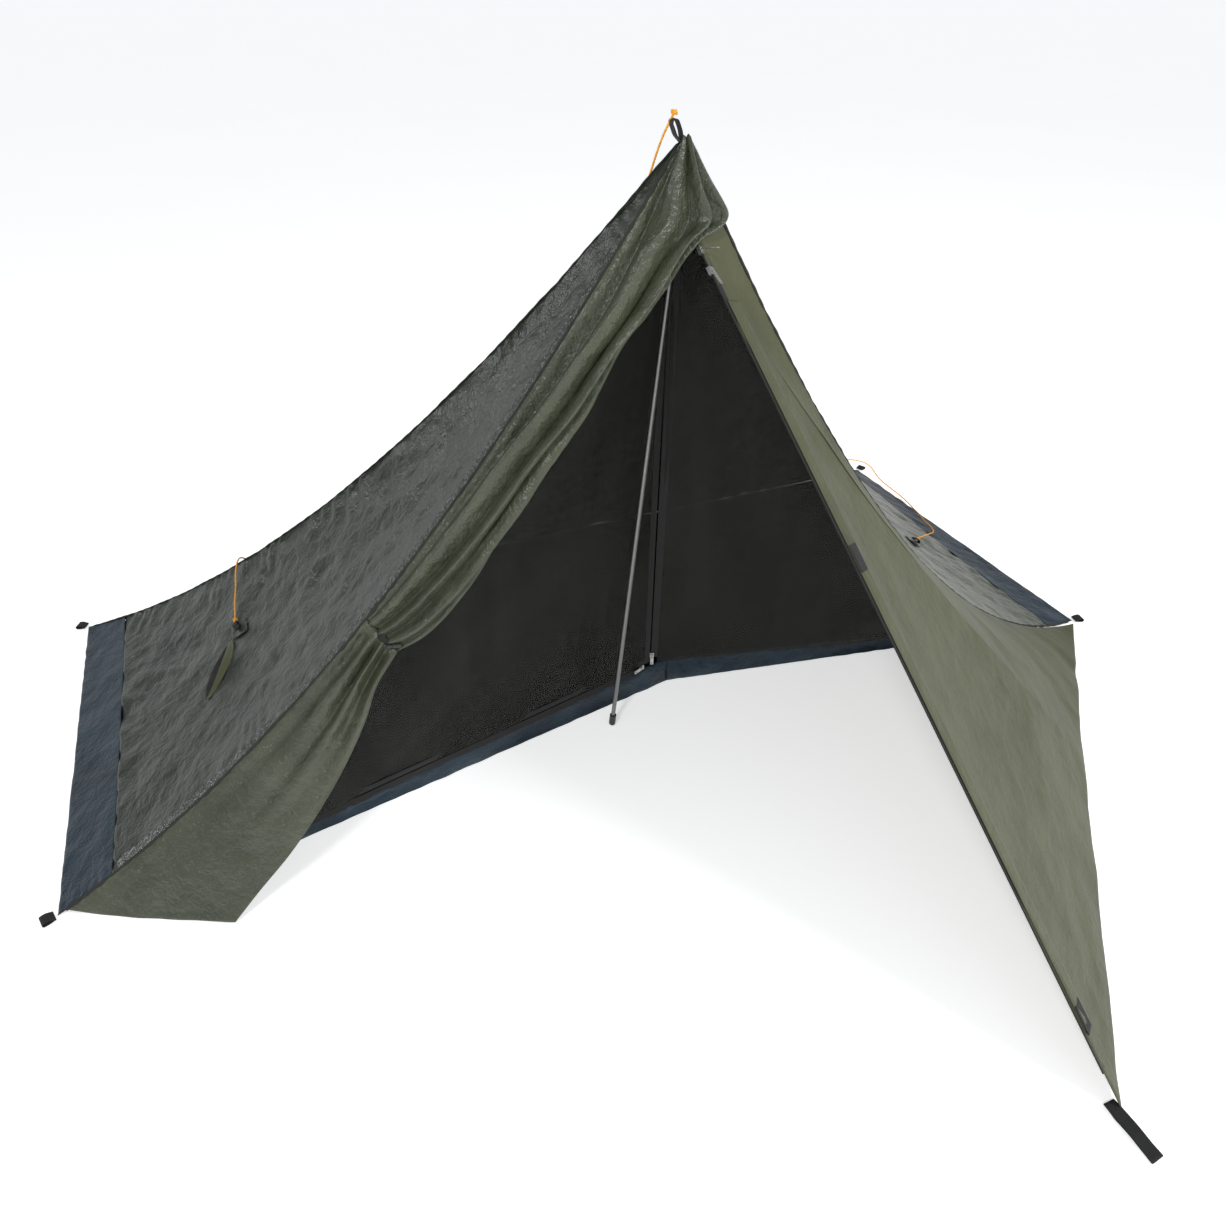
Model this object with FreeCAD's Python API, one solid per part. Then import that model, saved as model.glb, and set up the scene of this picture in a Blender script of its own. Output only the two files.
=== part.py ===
import FreeCAD, Part
import math
import os
from FreeCAD import Vector

# Solo pole tent with a bathtub floor, a mesh front wall and a two-flap vestibule.
# Millimetres. The origin is the middle of the floor rectangle on the ground:
# +X runs along the front to the right, +Y to the back wall, +Z up.

# ---- overall sizes -------------------------------------------------------------
FLOOR_LENGTH = 2200.0        # left to right, corner to corner
FLOOR_DEPTH = 880.0          # front edge to back edge
PEAK_HEIGHT = 1100.0         # ground to the fabric peak, above the front edge
STAKE_REACH = 912.0          # front edge to the vestibule's stake point
STAKE_OFFSET = 273.0         # stake point to the right of the middle

# ---- how far each seam hangs below a straight line --------------------------------
LEFT_SEAM_SAG = PEAK_HEIGHT * 0.118
RIGHT_SEAM_SAG = PEAK_HEIGHT * 0.2136
HIP_SAG = PEAK_HEIGHT * 0.118
SEAM_FORWARD = 0.2           # share of the right seam's sag that pulls it forwards
WALL_BELLY = PEAK_HEIGHT * 0.02     # extra slack in the middle of a wall
BACK_BELLY = PEAK_HEIGHT * 0.031

# ---- cloth ------------------------------------------------------------------------
CLOTH = 0.6                  # coated nylon with its seams averaged in
MESH = 0.4
LAYER_GAP = 0.4              # between two layers sewn flat on each other
EDGE_GAP = 2.6               # from a seam line to the edge of a panel
BINDING_WIDTH = 4.0
BINDING_THICKNESS = 1.4
TAPE_WIDTH = 22.0
BAND_WIDTH = 100.0           # navy band up each side, measured along the ground
GROUND = 0.8                 # underside of the lowest cloth edge
PANEL_TOP = 0.067            # share of a seam where the panels start below the peak

# ---- mesh front wall ----------------------------------------------------------------
SILL_SETBACK = 170.0         # sill corner behind the front edge
SILL_CORNER_X = 95.0
SILL_HEIGHT_CORNER = 58.0
SILL_KNEE = Vector(-760.0, 3.0, 0.8)        # left sill's bend, from the middle of the front edge
SILL_HEIGHT_KNEE = 27.0
SILL_HEIGHT_LEFT = 22.0
SILL_HEIGHT_RIGHT = 17.0
SILL_LEAN = 0.14             # how far the sill leans back for each unit of its height
SILL_LEFT_INSET = 70.0       # sill ends this far in from the floor corners
SILL_RIGHT_INSET = 118.0
MESH_TOP = Vector(2.0, 26.0, PEAK_HEIGHT - 155.0)       # from the middle of the front edge
DOOR_GAP = 1.6
MESH_DOOR_CORNER = 40.0      # mesh door's near corner, along the sill from the sill corner
MESH_DOOR_FAR = 12.0         # and its far corner, from the sill's bend
ZIP_ABOVE_SILL = 6.5

# ---- vestibule flaps -------------------------------------------------------------------
ZIP_TOP = Vector(7.0, -25.0, PEAK_HEIGHT - 122.0)       # from the middle of the front edge
FOLD_SHARE = 0.45            # fold line meets the hem this share of the way to the stake
HEM_BOW = Vector(-30.0, 0, 45.0)            # middle of the right hem, off a straight line
STORM_FLAP_WIDTH = 34.0
ROLL_WIDTH = 74.0
ROLL_DEPTH = 30.0
SKIRT_NECK = Vector(-28.5, -16.1, -35.2)    # top of the skirt's free edge, from the tied neck
SKIRT_TIP = Vector(273.0, -128.0, 1.2)      # from the front left floor corner
SKIRT_BULGE = 40.0

# ---- zips -------------------------------------------------------------------------------
ZIP_TAPE = 13.0
ZIP_TAPE_THICKNESS = 0.5
COIL_WIDTH = 3.0
COIL_HEIGHT = 1.8
SLIDER_LENGTH = 12.0
SLIDER_WIDTH = 9.0
SLIDER_HEIGHT = 5.4
SLIDER_GAP = 0.35            # running clearance round the coil and tape
LUG_HEIGHT = 3.2
PULL_LENGTH = 24.0
PULL_WIDTH = 7.0
PULL_THICKNESS = 1.4

# ---- pole ---------------------------------------------------------------------------------
POLE_RADIUS = 4.25
POLE_WALL = 0.7
POLE_TOP = Vector(0.5, -2.2, PEAK_HEIGHT - 42.0)        # from the middle of the front edge
POLE_FOOT = Vector(-72.0, 82.0, 0.0)
POLE_SECTIONS = 3
FERRULE_LENGTH = 90.0
FERRULE_GAP = 0.05
SHOCK_CORD_RADIUS = 1.3
FOOT_CAP_LENGTH = 22.0
TOP_TIP_LENGTH = 26.0
CUP_GAP = 3.5                # room for the pole's tip to tilt in its cup

# ---- webbing -------------------------------------------------------------------------------
WEB_WIDTH = 20.0
WEB_THICKNESS = 1.2
LOOP_LENGTH = 26.0
LOOP_INNER = 6.0
STAKE_LOOP_LENGTH = 58.0
PEAK_LOOP_LENGTH = 30.0
PEAK_LOOP_INNER = 8.0
PEAK_LOOP_WIDTH = 14.0
PULLOUT_LOOP_LENGTH = 26.0
PULLOUT_LOOP_WIDTH = 12.0
PATCH_SIZE = 44.0

# ---- guylines -------------------------------------------------------------------------------
CORD = 3.0
COIL_ACROSS = 34.0

HALF_LENGTH = FLOOR_LENGTH / 2
FRONT_Y = -FLOOR_DEPTH / 2
BACK_Y = FLOOR_DEPTH / 2


def from_front(point):
    """A point given from the middle of the front edge, in the tent's own frame."""
    return point + Vector(0, FRONT_Y, 0)


PEAK = Vector(0, FRONT_Y, PEAK_HEIGHT)
CORNER_FRONT_LEFT = Vector(-HALF_LENGTH, FRONT_Y, GROUND)
CORNER_FRONT_RIGHT = Vector(HALF_LENGTH, FRONT_Y, GROUND)
CORNER_BACK_LEFT = Vector(-HALF_LENGTH, BACK_Y, GROUND)
CORNER_BACK_RIGHT = Vector(HALF_LENGTH, BACK_Y, GROUND)
STAKE = from_front(Vector(STAKE_OFFSET, -STAKE_REACH, 4.0))
ZIP_START = from_front(ZIP_TOP)
MESH_START = from_front(MESH_TOP)
BAND_SHARE = 1 - BAND_WIDTH / HALF_LENGTH


def unit(vector):
    return vector * (1 / vector.Length)


def between(a, b, share):
    return a + (b - a) * share


# ---- seam lines -------------------------------------------------------------------------------
def hanging(corner, share, sag, forward=0.0):
    drop = sag * 4 * share * (1 - share)
    return between(PEAK, corner, share) - Vector(0, forward * drop, drop)


def left_seam(share):
    return hanging(CORNER_FRONT_LEFT, share, LEFT_SEAM_SAG)


def right_seam(share):
    return hanging(CORNER_FRONT_RIGHT, share, RIGHT_SEAM_SAG, SEAM_FORWARD)


def left_hip(share):
    return hanging(CORNER_BACK_LEFT, share, HIP_SAG)


def right_hip(share):
    return hanging(CORNER_BACK_RIGHT, share, HIP_SAG)


# ---- solids from sheets of points ---------------------------------------------------------------
def normals(rows):
    """The unit normal of a grid of points at each of its points."""
    result = []
    for i, row in enumerate(rows):
        made = []
        for j in range(len(row)):
            down = rows[min(i + 1, len(rows) - 1)][j] - rows[max(i - 1, 0)][j]
            across = row[min(j + 1, len(row) - 1)] - row[max(j - 1, 0)]
            made.append(unit(down.cross(across)))
        result.append(made)
    return result


def skin(points):
    patch = Part.BSplineSurface()
    patch.interpolate(points)
    return patch.toShape()


def sheet(rows, thickness, lift=0.0):
    """A closed solid of even thickness over a grid of points, moved out by lift."""
    out = normals(rows)
    top = [[p + n * (lift + thickness) for p, n in zip(r, m)] for r, m in zip(rows, out)]
    low = [[p + n * lift for p, n in zip(r, m)] for r, m in zip(rows, out)]
    faces = [skin(top), skin(low)]
    for upper, lower in zip(list(faces[0].Edges), list(faces[1].Edges)):
        faces.append(Part.makeRuledSurface(upper, lower))
    shell = Part.makeShell(faces)
    shell.sewShape()
    solid = Part.Solid(Part.Shell(shell.Faces))
    if solid.Volume < 0:
        solid.reverse()
    return solid


def hung(left, right, belly=0.0):
    """The surface of cloth hung between two lines, as a function of two shares."""
    def point(share, side):
        drop = belly * 4 * side * (1 - side) * math.sin(math.pi * share)
        return between(left(share), right(share), side) - Vector(0, 0, drop)
    return point


def panel(point, start, end, gap_left=EDGE_GAP, gap_right=EDGE_GAP, rows=7, columns=6):
    """A grid over a hung surface from one share to another, its sides in from the two lines."""
    made = []
    for i in range(rows):
        share = start + (end - start) * i / (rows - 1)
        width = (point(share, 1) - point(share, 0)).Length
        low, high = gap_left / width, 1 - gap_right / width
        made.append([point(share, low + (high - low) * j / (columns - 1)) for j in range(columns)])
    return made


def region(point, start, end, low, high, rows=4, columns=4):
    """A grid over a rectangle of a hung surface's two shares."""
    made = []
    for i in range(rows):
        share = start + (end - start) * i / (rows - 1)
        made.append([point(share, low + (high - low) * j / (columns - 1)) for j in range(columns)])
    return made


def line(a, b):
    return lambda share: between(a, b, share)


def bowed(a, b, bulge):
    """A line from a to b whose middle stands off by bulge."""
    return lambda share: between(a, b, share) + bulge * (4 * share * (1 - share))


def strip(path, width, across, start, end, rows=9):
    """A grid along a line, its width along a fixed direction."""
    made = []
    for i in range(rows):
        centre = path(start + (end - start) * i / (rows - 1))
        made.append([centre + across * (width * k) for k in (-0.5, -0.17, 0.17, 0.5)])
    return made


def placed(shape, origin, along, across, out):
    """Moves a shape from its own X, Y and Z to the directions along, across and out."""
    matrix = FreeCAD.Matrix(
        along.x, across.x, out.x, origin.x,
        along.y, across.y, out.y, origin.y,
        along.z, across.z, out.z, origin.z,
        0, 0, 0, 1,
    )
    moved = shape.copy()
    moved.Placement = FreeCAD.Placement(matrix)
    return moved


def block(size_x, size_y, size_z, centre):
    half = Vector(size_x, size_y, size_z) * 0.5
    return Part.makeBox(size_x, size_y, size_z, centre - half)


def frame_of(along, out):
    """Three square directions: along, then across, then out made square to along."""
    along = unit(along)
    across = unit(out.cross(along))
    return along, across, unit(along.cross(across))


nodes = {}

# ---- floor: a flat sheet with a navy band turned up on each side ----------------------------------
left_wall_at = hung(left_hip, left_seam, WALL_BELLY)
right_wall_at = hung(right_seam, right_hip, WALL_BELLY)
back_wall_at = hung(right_hip, left_hip, BACK_BELLY)

SILL_CORNER = from_front(Vector(SILL_CORNER_X, SILL_SETBACK, GROUND))
SILL_BEND = from_front(SILL_KNEE)
SILL_LEFT_END = CORNER_FRONT_LEFT + Vector(SILL_LEFT_INSET, 12, 0)
SILL_RIGHT_END = CORNER_FRONT_RIGHT + Vector(-SILL_RIGHT_INSET, 12, 0)
FLOOR_INSET = 3.0


def floor_outline():
    """Floor corners, a little inside the feet of the bands and the sill."""
    front_drop = Vector(0, FLOOR_INSET, 0)
    side = Vector(FLOOR_INSET, 0, 0)
    return [
        CORNER_FRONT_LEFT + side + Vector(0, 16, 0),
        SILL_LEFT_END + front_drop,
        SILL_BEND + front_drop,
        SILL_CORNER + front_drop,
        SILL_RIGHT_END + front_drop,
        CORNER_FRONT_RIGHT - side + Vector(0, 16, 0),
        CORNER_BACK_RIGHT - side - front_drop,
        CORNER_BACK_LEFT + side - front_drop,
    ]


floor_corners = [Vector(p.x, p.y, 0) for p in floor_outline()]
nodes["floor_sheet"] = Part.Face(Part.makePolygon(floor_corners + [floor_corners[0]])).extrude(
    Vector(0, 0, CLOTH)
)


def band(point, gap=EDGE_GAP):
    return sheet(panel(point, BAND_SHARE, 1.0, gap, gap, rows=4, columns=4), CLOTH)


nodes["floor_band_left"] = band(left_wall_at)
nodes["floor_band_right"] = band(right_wall_at)
nodes["floor_band_back"] = band(back_wall_at)


def sill_top(foot, height):
    rise = height - GROUND
    return foot + Vector(0, SILL_LEAN * rise, rise)


SILL_CORNER_TOP = sill_top(SILL_CORNER, SILL_HEIGHT_CORNER)
SILL_BEND_TOP = sill_top(SILL_BEND, SILL_HEIGHT_KNEE)
SILL_LEFT_TOP = sill_top(SILL_LEFT_END, SILL_HEIGHT_LEFT)
SILL_RIGHT_TOP = sill_top(SILL_RIGHT_END, SILL_HEIGHT_RIGHT)


def sill(left_foot, left_top, right_foot, right_top):
    surface_at = hung(line(left_top, left_foot), line(right_top, right_foot))
    return sheet(panel(surface_at, 0, 1, 1.0, 1.0, rows=3, columns=8), CLOTH)


nodes["front_sill_left"] = Part.makeCompound([
    sill(SILL_LEFT_END, SILL_LEFT_TOP, SILL_BEND, SILL_BEND_TOP),
    sill(SILL_BEND, SILL_BEND_TOP, SILL_CORNER, SILL_CORNER_TOP),
])
nodes["front_sill_right"] = sill(SILL_CORNER, SILL_CORNER_TOP, SILL_RIGHT_END, SILL_RIGHT_TOP)

# ---- single-skin walls ---------------------------------------------------------------------------
WALL_END = BAND_SHARE - LAYER_GAP / HALF_LENGTH
nodes["left_wall"] = sheet(panel(left_wall_at, PANEL_TOP, WALL_END), CLOTH)
nodes["right_wall"] = sheet(panel(right_wall_at, PANEL_TOP, WALL_END), CLOTH)
nodes["back_wall"] = sheet(panel(back_wall_at, PANEL_TOP, WALL_END, columns=8), CLOTH)

# ---- bindings along the four seams, and the taped seam on the left -----------------------------------
LEVEL_RIGHT = Vector(1, 0, 0)
LEVEL_BACK = Vector(0, 1, 0)


def binding(path, across, end=0.985):
    return sheet(strip(path, BINDING_WIDTH, unit(across), PANEL_TOP, end), BINDING_THICKNESS)


nodes["left_seam_binding"] = binding(left_seam, Vector(0, -1, 0))
nodes["right_seam_binding"] = binding(right_seam, LEVEL_BACK)
nodes["hip_bindings"] = Part.makeCompound([
    binding(left_hip, Vector(-0.62, -0.78, 0)), binding(right_hip, Vector(-0.62, 0.78, 0))
])


def seam_tape(point, start, end, width):
    """Heat-sealed tape on the outside of a wall, beside its front seam."""
    made = []
    for i in range(9):
        share = start + (end - start) * i / 8
        across = (point(share, 1) - point(share, 0)).Length
        high = 1 - EDGE_GAP / across
        low = high - width / across
        made.append([point(share, low + (high - low) * k / 3) for k in range(4)])
    return sheet(made, MESH, CLOTH + LAYER_GAP)


nodes["left_seam_tape"] = seam_tape(left_wall_at, PANEL_TOP + 0.03, WALL_END - 0.01, TAPE_WIDTH)

# ---- peak: fabric cap, webbing loop and the cup that takes the pole --------------------------------------
CAP_LIFT = 2.0
CAP_THICKNESS = 1.2


def cap_ring(share, grow):
    """A level ring through the four seam lines and a point in front of the pole."""
    seams = [seam(share) for seam in (left_seam, right_seam, right_hip, left_hip)]
    height = sum(p.z for p in seams) / len(seams)
    front = Vector(0, PEAK.y - min(CAP_FRONT, CAP_NOSE + CAP_SPREAD * share), 0)
    corners = [front] + [seams[1], seams[2], seams[3], seams[0]]
    middle = Vector(0, PEAK.y + HALF_LENGTH * share * CAP_MIDDLE, 0)
    ring = []
    for p in corners:
        flat = Vector(p.x, p.y, 0)
        ring.append(flat + unit(flat - middle) * grow + Vector(0, 0, height))
    return Part.makePolygon(ring + [ring[0]])


def cap_solid(grow, start, end):
    return Part.makeLoft([cap_ring(k, grow) for k in (start, CAP_SHOULDER, end)], True, True)


CAP_FRONT, CAP_NOSE, CAP_SPREAD = 26.0, 6.0, 900.0
CAP_MIDDLE = 0.3             # how far back the cap's middle moves as it widens
CAP_START, CAP_SHOULDER, CAP_END = 0.003, 0.022, PANEL_TOP - 0.009
CAP_ROOF = 0.005
nodes["peak_cap"] = cap_solid(CAP_LIFT + CAP_THICKNESS, CAP_START, CAP_END).cut(
    cap_solid(CAP_LIFT, CAP_START + CAP_ROOF, CAP_END + 0.001)
)

POLE_HEAD = from_front(POLE_TOP)
POLE_TIP = from_front(POLE_FOOT)
POLE_LINE = unit(POLE_HEAD - POLE_TIP)
pole_side = unit(LEVEL_BACK.cross(POLE_LINE))
pole_frame = (pole_side, unit(POLE_LINE.cross(pole_side)), POLE_LINE)
CUP_INNER = POLE_RADIUS + CUP_GAP
CUP_WALL = 1.6
CUP_DEPTH = 13.0
CUP_ROOF = 2.0
cup = Part.makeCylinder(CUP_INNER + CUP_WALL, CUP_DEPTH + CUP_ROOF)
cup = cup.cut(Part.makeCylinder(CUP_INNER, CUP_DEPTH))
cup_base = POLE_HEAD + POLE_LINE * (LAYER_GAP - CUP_DEPTH)
nodes["pole_cup"] = placed(cup, cup_base, *pole_frame)


def webbing_loop(length, inner=LOOP_INNER, width=WEB_WIDTH):
    """A sewn loop of flat webbing: X away from the seam, width along Y, standing on Z = 0."""
    def outline(radius, x_start, x_end, z):
        a, b = Vector(x_start + radius, 0, z - radius), Vector(x_end - radius, 0, z - radius)
        c, d = Vector(x_end - radius, 0, z + radius), Vector(x_start + radius, 0, z + radius)
        far, near = Vector(x_end, 0, z), Vector(x_start, 0, z)
        edges = [
            Part.LineSegment(a, b).toShape(),
            Part.Arc(b, far, c).toShape(),
            Part.LineSegment(c, d).toShape(),
            Part.Arc(d, near, a).toShape(),
        ]
        return Part.Face(Part.Wire(edges))
    centre = inner / 2 + WEB_THICKNESS
    ring = outline(centre, 0, length, centre).cut(
        outline(inner / 2, WEB_THICKNESS, length - WEB_THICKNESS, centre)
    )
    return ring.extrude(Vector(0, width, 0)).translated(Vector(0, -width / 2, 0))


UP = Vector(0, 0, 1)
LOOP_GAP = 1.5
loop_turn = {
    "front_left": (CORNER_FRONT_LEFT, Vector(-1, -0.35, 0)),
    "front_right": (CORNER_FRONT_RIGHT, Vector(1, -0.2, 0)),
    "back_left": (CORNER_BACK_LEFT, Vector(-1, 0.45, 0)),
    "back_right": (CORNER_BACK_RIGHT, Vector(1, 0.45, 0)),
}
for corner_name, (corner, heading) in loop_turn.items():
    along, across, out = frame_of(heading, UP)
    start = Vector(corner.x, corner.y, 0) + along * LOOP_GAP
    nodes["webbing_loop_" + corner_name] = placed(webbing_loop(LOOP_LENGTH), start, along, across, out)

along, across, out = frame_of(Vector(-0.55, 0, 1), Vector(-1, 0, -0.5))
peak_loop_start = PEAK + Vector(-2, 2, LOOP_GAP)
nodes["webbing_loop_peak"] = placed(
    webbing_loop(PEAK_LOOP_LENGTH, PEAK_LOOP_INNER, PEAK_LOOP_WIDTH), peak_loop_start, along, across, out
)

# ---- side pull-outs: a sewn patch and loop on each end wall, with a small vent below the left one --------
LEFT_PULLOUT = (0.667, 0.36)
RIGHT_PULLOUT = (0.76, 0.48)
OVER_CLOTH = CLOTH + LAYER_GAP
PATCH_LIFT = 0.7             # middle of a flat patch above the outside of the bowed wall


patches = []


def pullout(side, point, shares, heading):
    """The patch lies on the wall; the loop stands on the patch and points along heading."""
    share, across_share = shares
    centre = point(share, across_share)
    down = point(share + 0.01, across_share) - point(share - 0.01, across_share)
    sideways = point(share, across_share + 0.01) - point(share, across_share - 0.01)
    normal = unit(down.cross(sideways))
    square = block(PATCH_SIZE, PATCH_SIZE, CLOTH, Vector(0, 0, 0))
    patches.append(placed(square, centre + normal * (OVER_CLOTH + PATCH_LIFT), *frame_of(down, normal)))
    along, across, out = frame_of(heading, normal)
    base = centre + out * (OVER_CLOTH + CLOTH + LAYER_GAP + 0.8) - along * 6
    nodes[side + "_pullout_loop"] = placed(
        webbing_loop(PULLOUT_LOOP_LENGTH, LOOP_INNER, PULLOUT_LOOP_WIDTH), base, along, across, out
    )
    return centre, along, out


pullout("left", left_wall_at, LEFT_PULLOUT, Vector(-0.15, 1, 0))
pullout("right", right_wall_at, RIGHT_PULLOUT, Vector(0.9, -0.2, -0.5))
nodes["pullout_patches"] = Part.makeCompound(patches)

nodes["left_vent_mesh"] = sheet(region(left_wall_at, 0.695, 0.725, 0.44, 0.60), MESH, OVER_CLOTH)

# ---- mesh front wall: a fixed right half, a fixed strip, and a door that swings in -------------------------
ZIP_SIDE = SLIDER_WIDTH / 2 + 1.0
sill_run = SILL_CORNER_TOP - SILL_BEND_TOP
sill_out = unit(Vector(0, -1, SILL_LEAN))
zip_over_sill = Vector(0, 0, ZIP_ABOVE_SILL) + sill_out * (CLOTH + LAYER_GAP + COIL_HEIGHT / 2)
MESH_CORNER = SILL_CORNER_TOP - unit(sill_run) * MESH_DOOR_CORNER + zip_over_sill
MESH_FAR = SILL_BEND_TOP + unit(sill_run) * MESH_DOOR_FAR + zip_over_sill
MESH_LEFT_END = SILL_LEFT_TOP + zip_over_sill

mesh_zip = line(MESH_START, MESH_CORNER)
mesh_fold = line(MESH_START, MESH_FAR)


def seam_part(seam, start, end):
    return lambda share: seam(start + (end - start) * share)


mesh_right_at = hung(mesh_zip, seam_part(right_seam, 0.11, 0.93))
nodes["mesh_wall_right"] = sheet(
    panel(mesh_right_at, 0.01, 0.99, ZIP_TAPE + 2.5, EDGE_GAP, columns=7), MESH
)
mesh_strip_at = hung(seam_part(left_seam, 0.11, 0.66), mesh_fold)
mesh_end_at = hung(seam_part(left_seam, 0.665, 0.925), line(MESH_FAR, MESH_LEFT_END))
nodes["mesh_wall_left"] = Part.makeCompound([
    sheet(panel(mesh_strip_at, 0.01, 0.995, EDGE_GAP, DOOR_GAP), MESH),
    sheet(panel(mesh_end_at, 0.01, 0.99, EDGE_GAP, 1.0), MESH),
])


def inside(corners, gaps):
    """A triangle a, b, c moved in by its own gap on each of the sides ab, bc and ca."""
    a, b, c = corners
    double_area = (b - a).cross(c - a).Length
    share_c = gaps[0] * (b - a).Length / double_area
    share_a = gaps[1] * (c - b).Length / double_area
    share_b = gaps[2] * (a - c).Length / double_area
    return [
        a + (b - a) * share_b + (c - a) * share_c,
        b + (a - b) * share_a + (c - b) * share_c,
        c + (a - c) * share_a + (b - c) * share_b,
    ]


def toward(a, b, distance):
    return a + unit(b - a) * distance


def plate(outline, thickness, normal, lift=0.0):
    points = [p + normal * lift for p in outline]
    return Part.Face(Part.makePolygon(points + [points[0]])).extrude(normal * thickness)


DOOR_TRIM = 45.0
door_lines = (MESH_START, MESH_CORNER, MESH_FAR)
door_out = unit((MESH_FAR - MESH_START).cross(MESH_CORNER - MESH_START))
outer = inside(door_lines, (ZIP_SIDE, ZIP_SIDE, DOOR_GAP))
inner = inside(door_lines, (ZIP_SIDE + ZIP_TAPE, ZIP_SIDE + ZIP_TAPE, DOOR_GAP))
cloth_edge = inside(door_lines, (ZIP_SIDE + ZIP_TAPE + 0.4, ZIP_SIDE + ZIP_TAPE + 0.4, DOOR_GAP))
nodes["mesh_door_panel"] = plate(
    [toward(cloth_edge[0], cloth_edge[1], DOOR_TRIM), cloth_edge[1], cloth_edge[2],
     toward(cloth_edge[0], cloth_edge[2], DOOR_TRIM)],
    MESH, door_out,
)
nodes["mesh_door_zip"] = plate(
    [toward(outer[0], outer[1], DOOR_TRIM + 20), outer[1], outer[2], inner[2], inner[1],
     toward(inner[0], inner[1], DOOR_TRIM)],
    ZIP_TAPE_THICKNESS, door_out,
)


# ---- zips: half a zip is a tape with a moulded coil; sliders run on it and carry a pull ----------------------
def zip_strip(start, end, out, gap_start, gap_end):
    """The coil runs along the line and the tape lies to the across side of it."""
    along, across, out = frame_of(end - start, out)
    length = (end - start).Length - gap_start - gap_end
    tape = Part.makeBox(length, ZIP_TAPE, ZIP_TAPE_THICKNESS, Vector(0, 0, -ZIP_TAPE_THICKNESS / 2))
    coil = Part.makeBox(length, COIL_WIDTH, COIL_HEIGHT, Vector(0, -COIL_WIDTH / 2, -COIL_HEIGHT / 2))
    half = tape.fuse(coil).removeSplitter()
    return placed(half, start + along * gap_start, along, across, out), (along, across, out)


LUG_HOLE = 2.0
LUG_BAR = 1.4
LUG_WIDTH = 2.4
LUG_AXIS = SLIDER_HEIGHT / 2 + LUG_HEIGHT - LUG_HOLE / 2 - LUG_BAR / 2
PULL_PIN = 0.7
RING_INSIDE = LUG_WIDTH + 2 * SLIDER_GAP
PIN_LENGTH = PULL_WIDTH - 1.0


def slider_solid():
    """Zip slider: X along the zip, Z out. The channel for coil and tape opens to +Y."""
    body = block(SLIDER_LENGTH, SLIDER_WIDTH, SLIDER_HEIGHT, Vector(0, 0, 0))
    channel = block(
        SLIDER_LENGTH + 2, COIL_WIDTH + 2 * SLIDER_GAP, COIL_HEIGHT + 2 * SLIDER_GAP, Vector(0, 0, 0)
    )
    slot = Part.makeBox(
        SLIDER_LENGTH + 2, SLIDER_WIDTH, ZIP_TAPE_THICKNESS + 2 * SLIDER_GAP,
        Vector(-SLIDER_LENGTH / 2 - 1, 0, -ZIP_TAPE_THICKNESS / 2 - SLIDER_GAP),
    )
    lug = Part.makeBox(
        LUG_HOLE + 2 * LUG_BAR, LUG_WIDTH, LUG_HEIGHT + 0.5,
        Vector(-LUG_HOLE / 2 - LUG_BAR, -LUG_WIDTH / 2, SLIDER_HEIGHT / 2 - 0.5),
    )
    hole = Part.makeCylinder(LUG_HOLE / 2, LUG_WIDTH + 2, Vector(0, -LUG_WIDTH / 2 - 1, LUG_AXIS), LEVEL_BACK)
    return body.cut(channel).cut(slot).fuse(lug).cut(hole).removeSplitter()


def pull_solid():
    """Pull tab lying along +X from its pivot pin, which is at the origin along Y."""
    reach = LUG_HOLE / 2 + LUG_BAR + LUG_HEIGHT
    arms = block(reach + 2, PULL_WIDTH, PULL_THICKNESS, Vector((reach + 2) / 2 - 1.2, 0, 0))
    arms = arms.cut(block(reach * 2, RING_INSIDE, PULL_THICKNESS + 1, Vector(0, 0, 0)))
    blade = Part.makeBox(
        PULL_LENGTH - reach, PULL_WIDTH, PULL_THICKNESS, Vector(reach, -PULL_WIDTH / 2, -PULL_THICKNESS / 2)
    )
    eye = Part.makeCylinder(1.6, PULL_THICKNESS + 2, Vector(PULL_LENGTH - 4, 0, -PULL_THICKNESS / 2 - 1))
    pin = Part.makeCylinder(PULL_PIN, PIN_LENGTH, Vector(0, -PIN_LENGTH / 2, 0), LEVEL_BACK)
    return arms.fuse(blade).cut(eye).fuse(pin).removeSplitter()


def zip_slider(name, start, directions, offset, lean):
    """A slider on a zip line, with its pull turned up from lying along the zip by lean degrees."""
    along, across, out = directions
    centre = start + along * offset
    nodes[name + "_slider"] = placed(slider_solid(), centre, along, across, out)
    pivot = centre + out * LUG_AXIS
    turn = math.radians(lean)
    tab_along = along * math.cos(turn) + out * math.sin(turn)
    tab_out = out * math.cos(turn) - along * math.sin(turn)
    nodes[name + "_pull"] = placed(pull_solid(), pivot, tab_along, across, tab_out)
    print("zip", name, "centre", centre, "along", along, "across", across, "pivot", pivot)


ZIP_END_GAP = 18.0
MESH_ZIP_TOP_GAP = 12.0
MESH_ZIP_FAR_GAP = 4.0
mesh_right_mid = (mesh_right_at(0.5, 0.1) - mesh_right_at(0.5, 0.0))
vertical_out = unit((MESH_CORNER - MESH_START).cross(mesh_right_mid))
vertical_tape, vertical_frame = zip_strip(MESH_START, MESH_CORNER, vertical_out, MESH_ZIP_TOP_GAP, ZIP_END_GAP)
nodes["mesh_zip_vertical"] = vertical_tape
sill_tape, sill_frame = zip_strip(MESH_CORNER, MESH_FAR, sill_out, ZIP_END_GAP, MESH_ZIP_FAR_GAP)
nodes["mesh_zip_sill"] = sill_tape
vertical_length = (MESH_CORNER - MESH_START).Length
SLIDER_FROM_END = SLIDER_LENGTH / 2 + 3
VERTICAL_SLIDER_AT = vertical_length - ZIP_END_GAP - SLIDER_FROM_END
zip_slider("mesh_vertical", MESH_START, vertical_frame, VERTICAL_SLIDER_AT, 8.0)
zip_slider("mesh_sill", MESH_CORNER, sill_frame, ZIP_END_GAP + SLIDER_FROM_END, 12.0)

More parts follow.
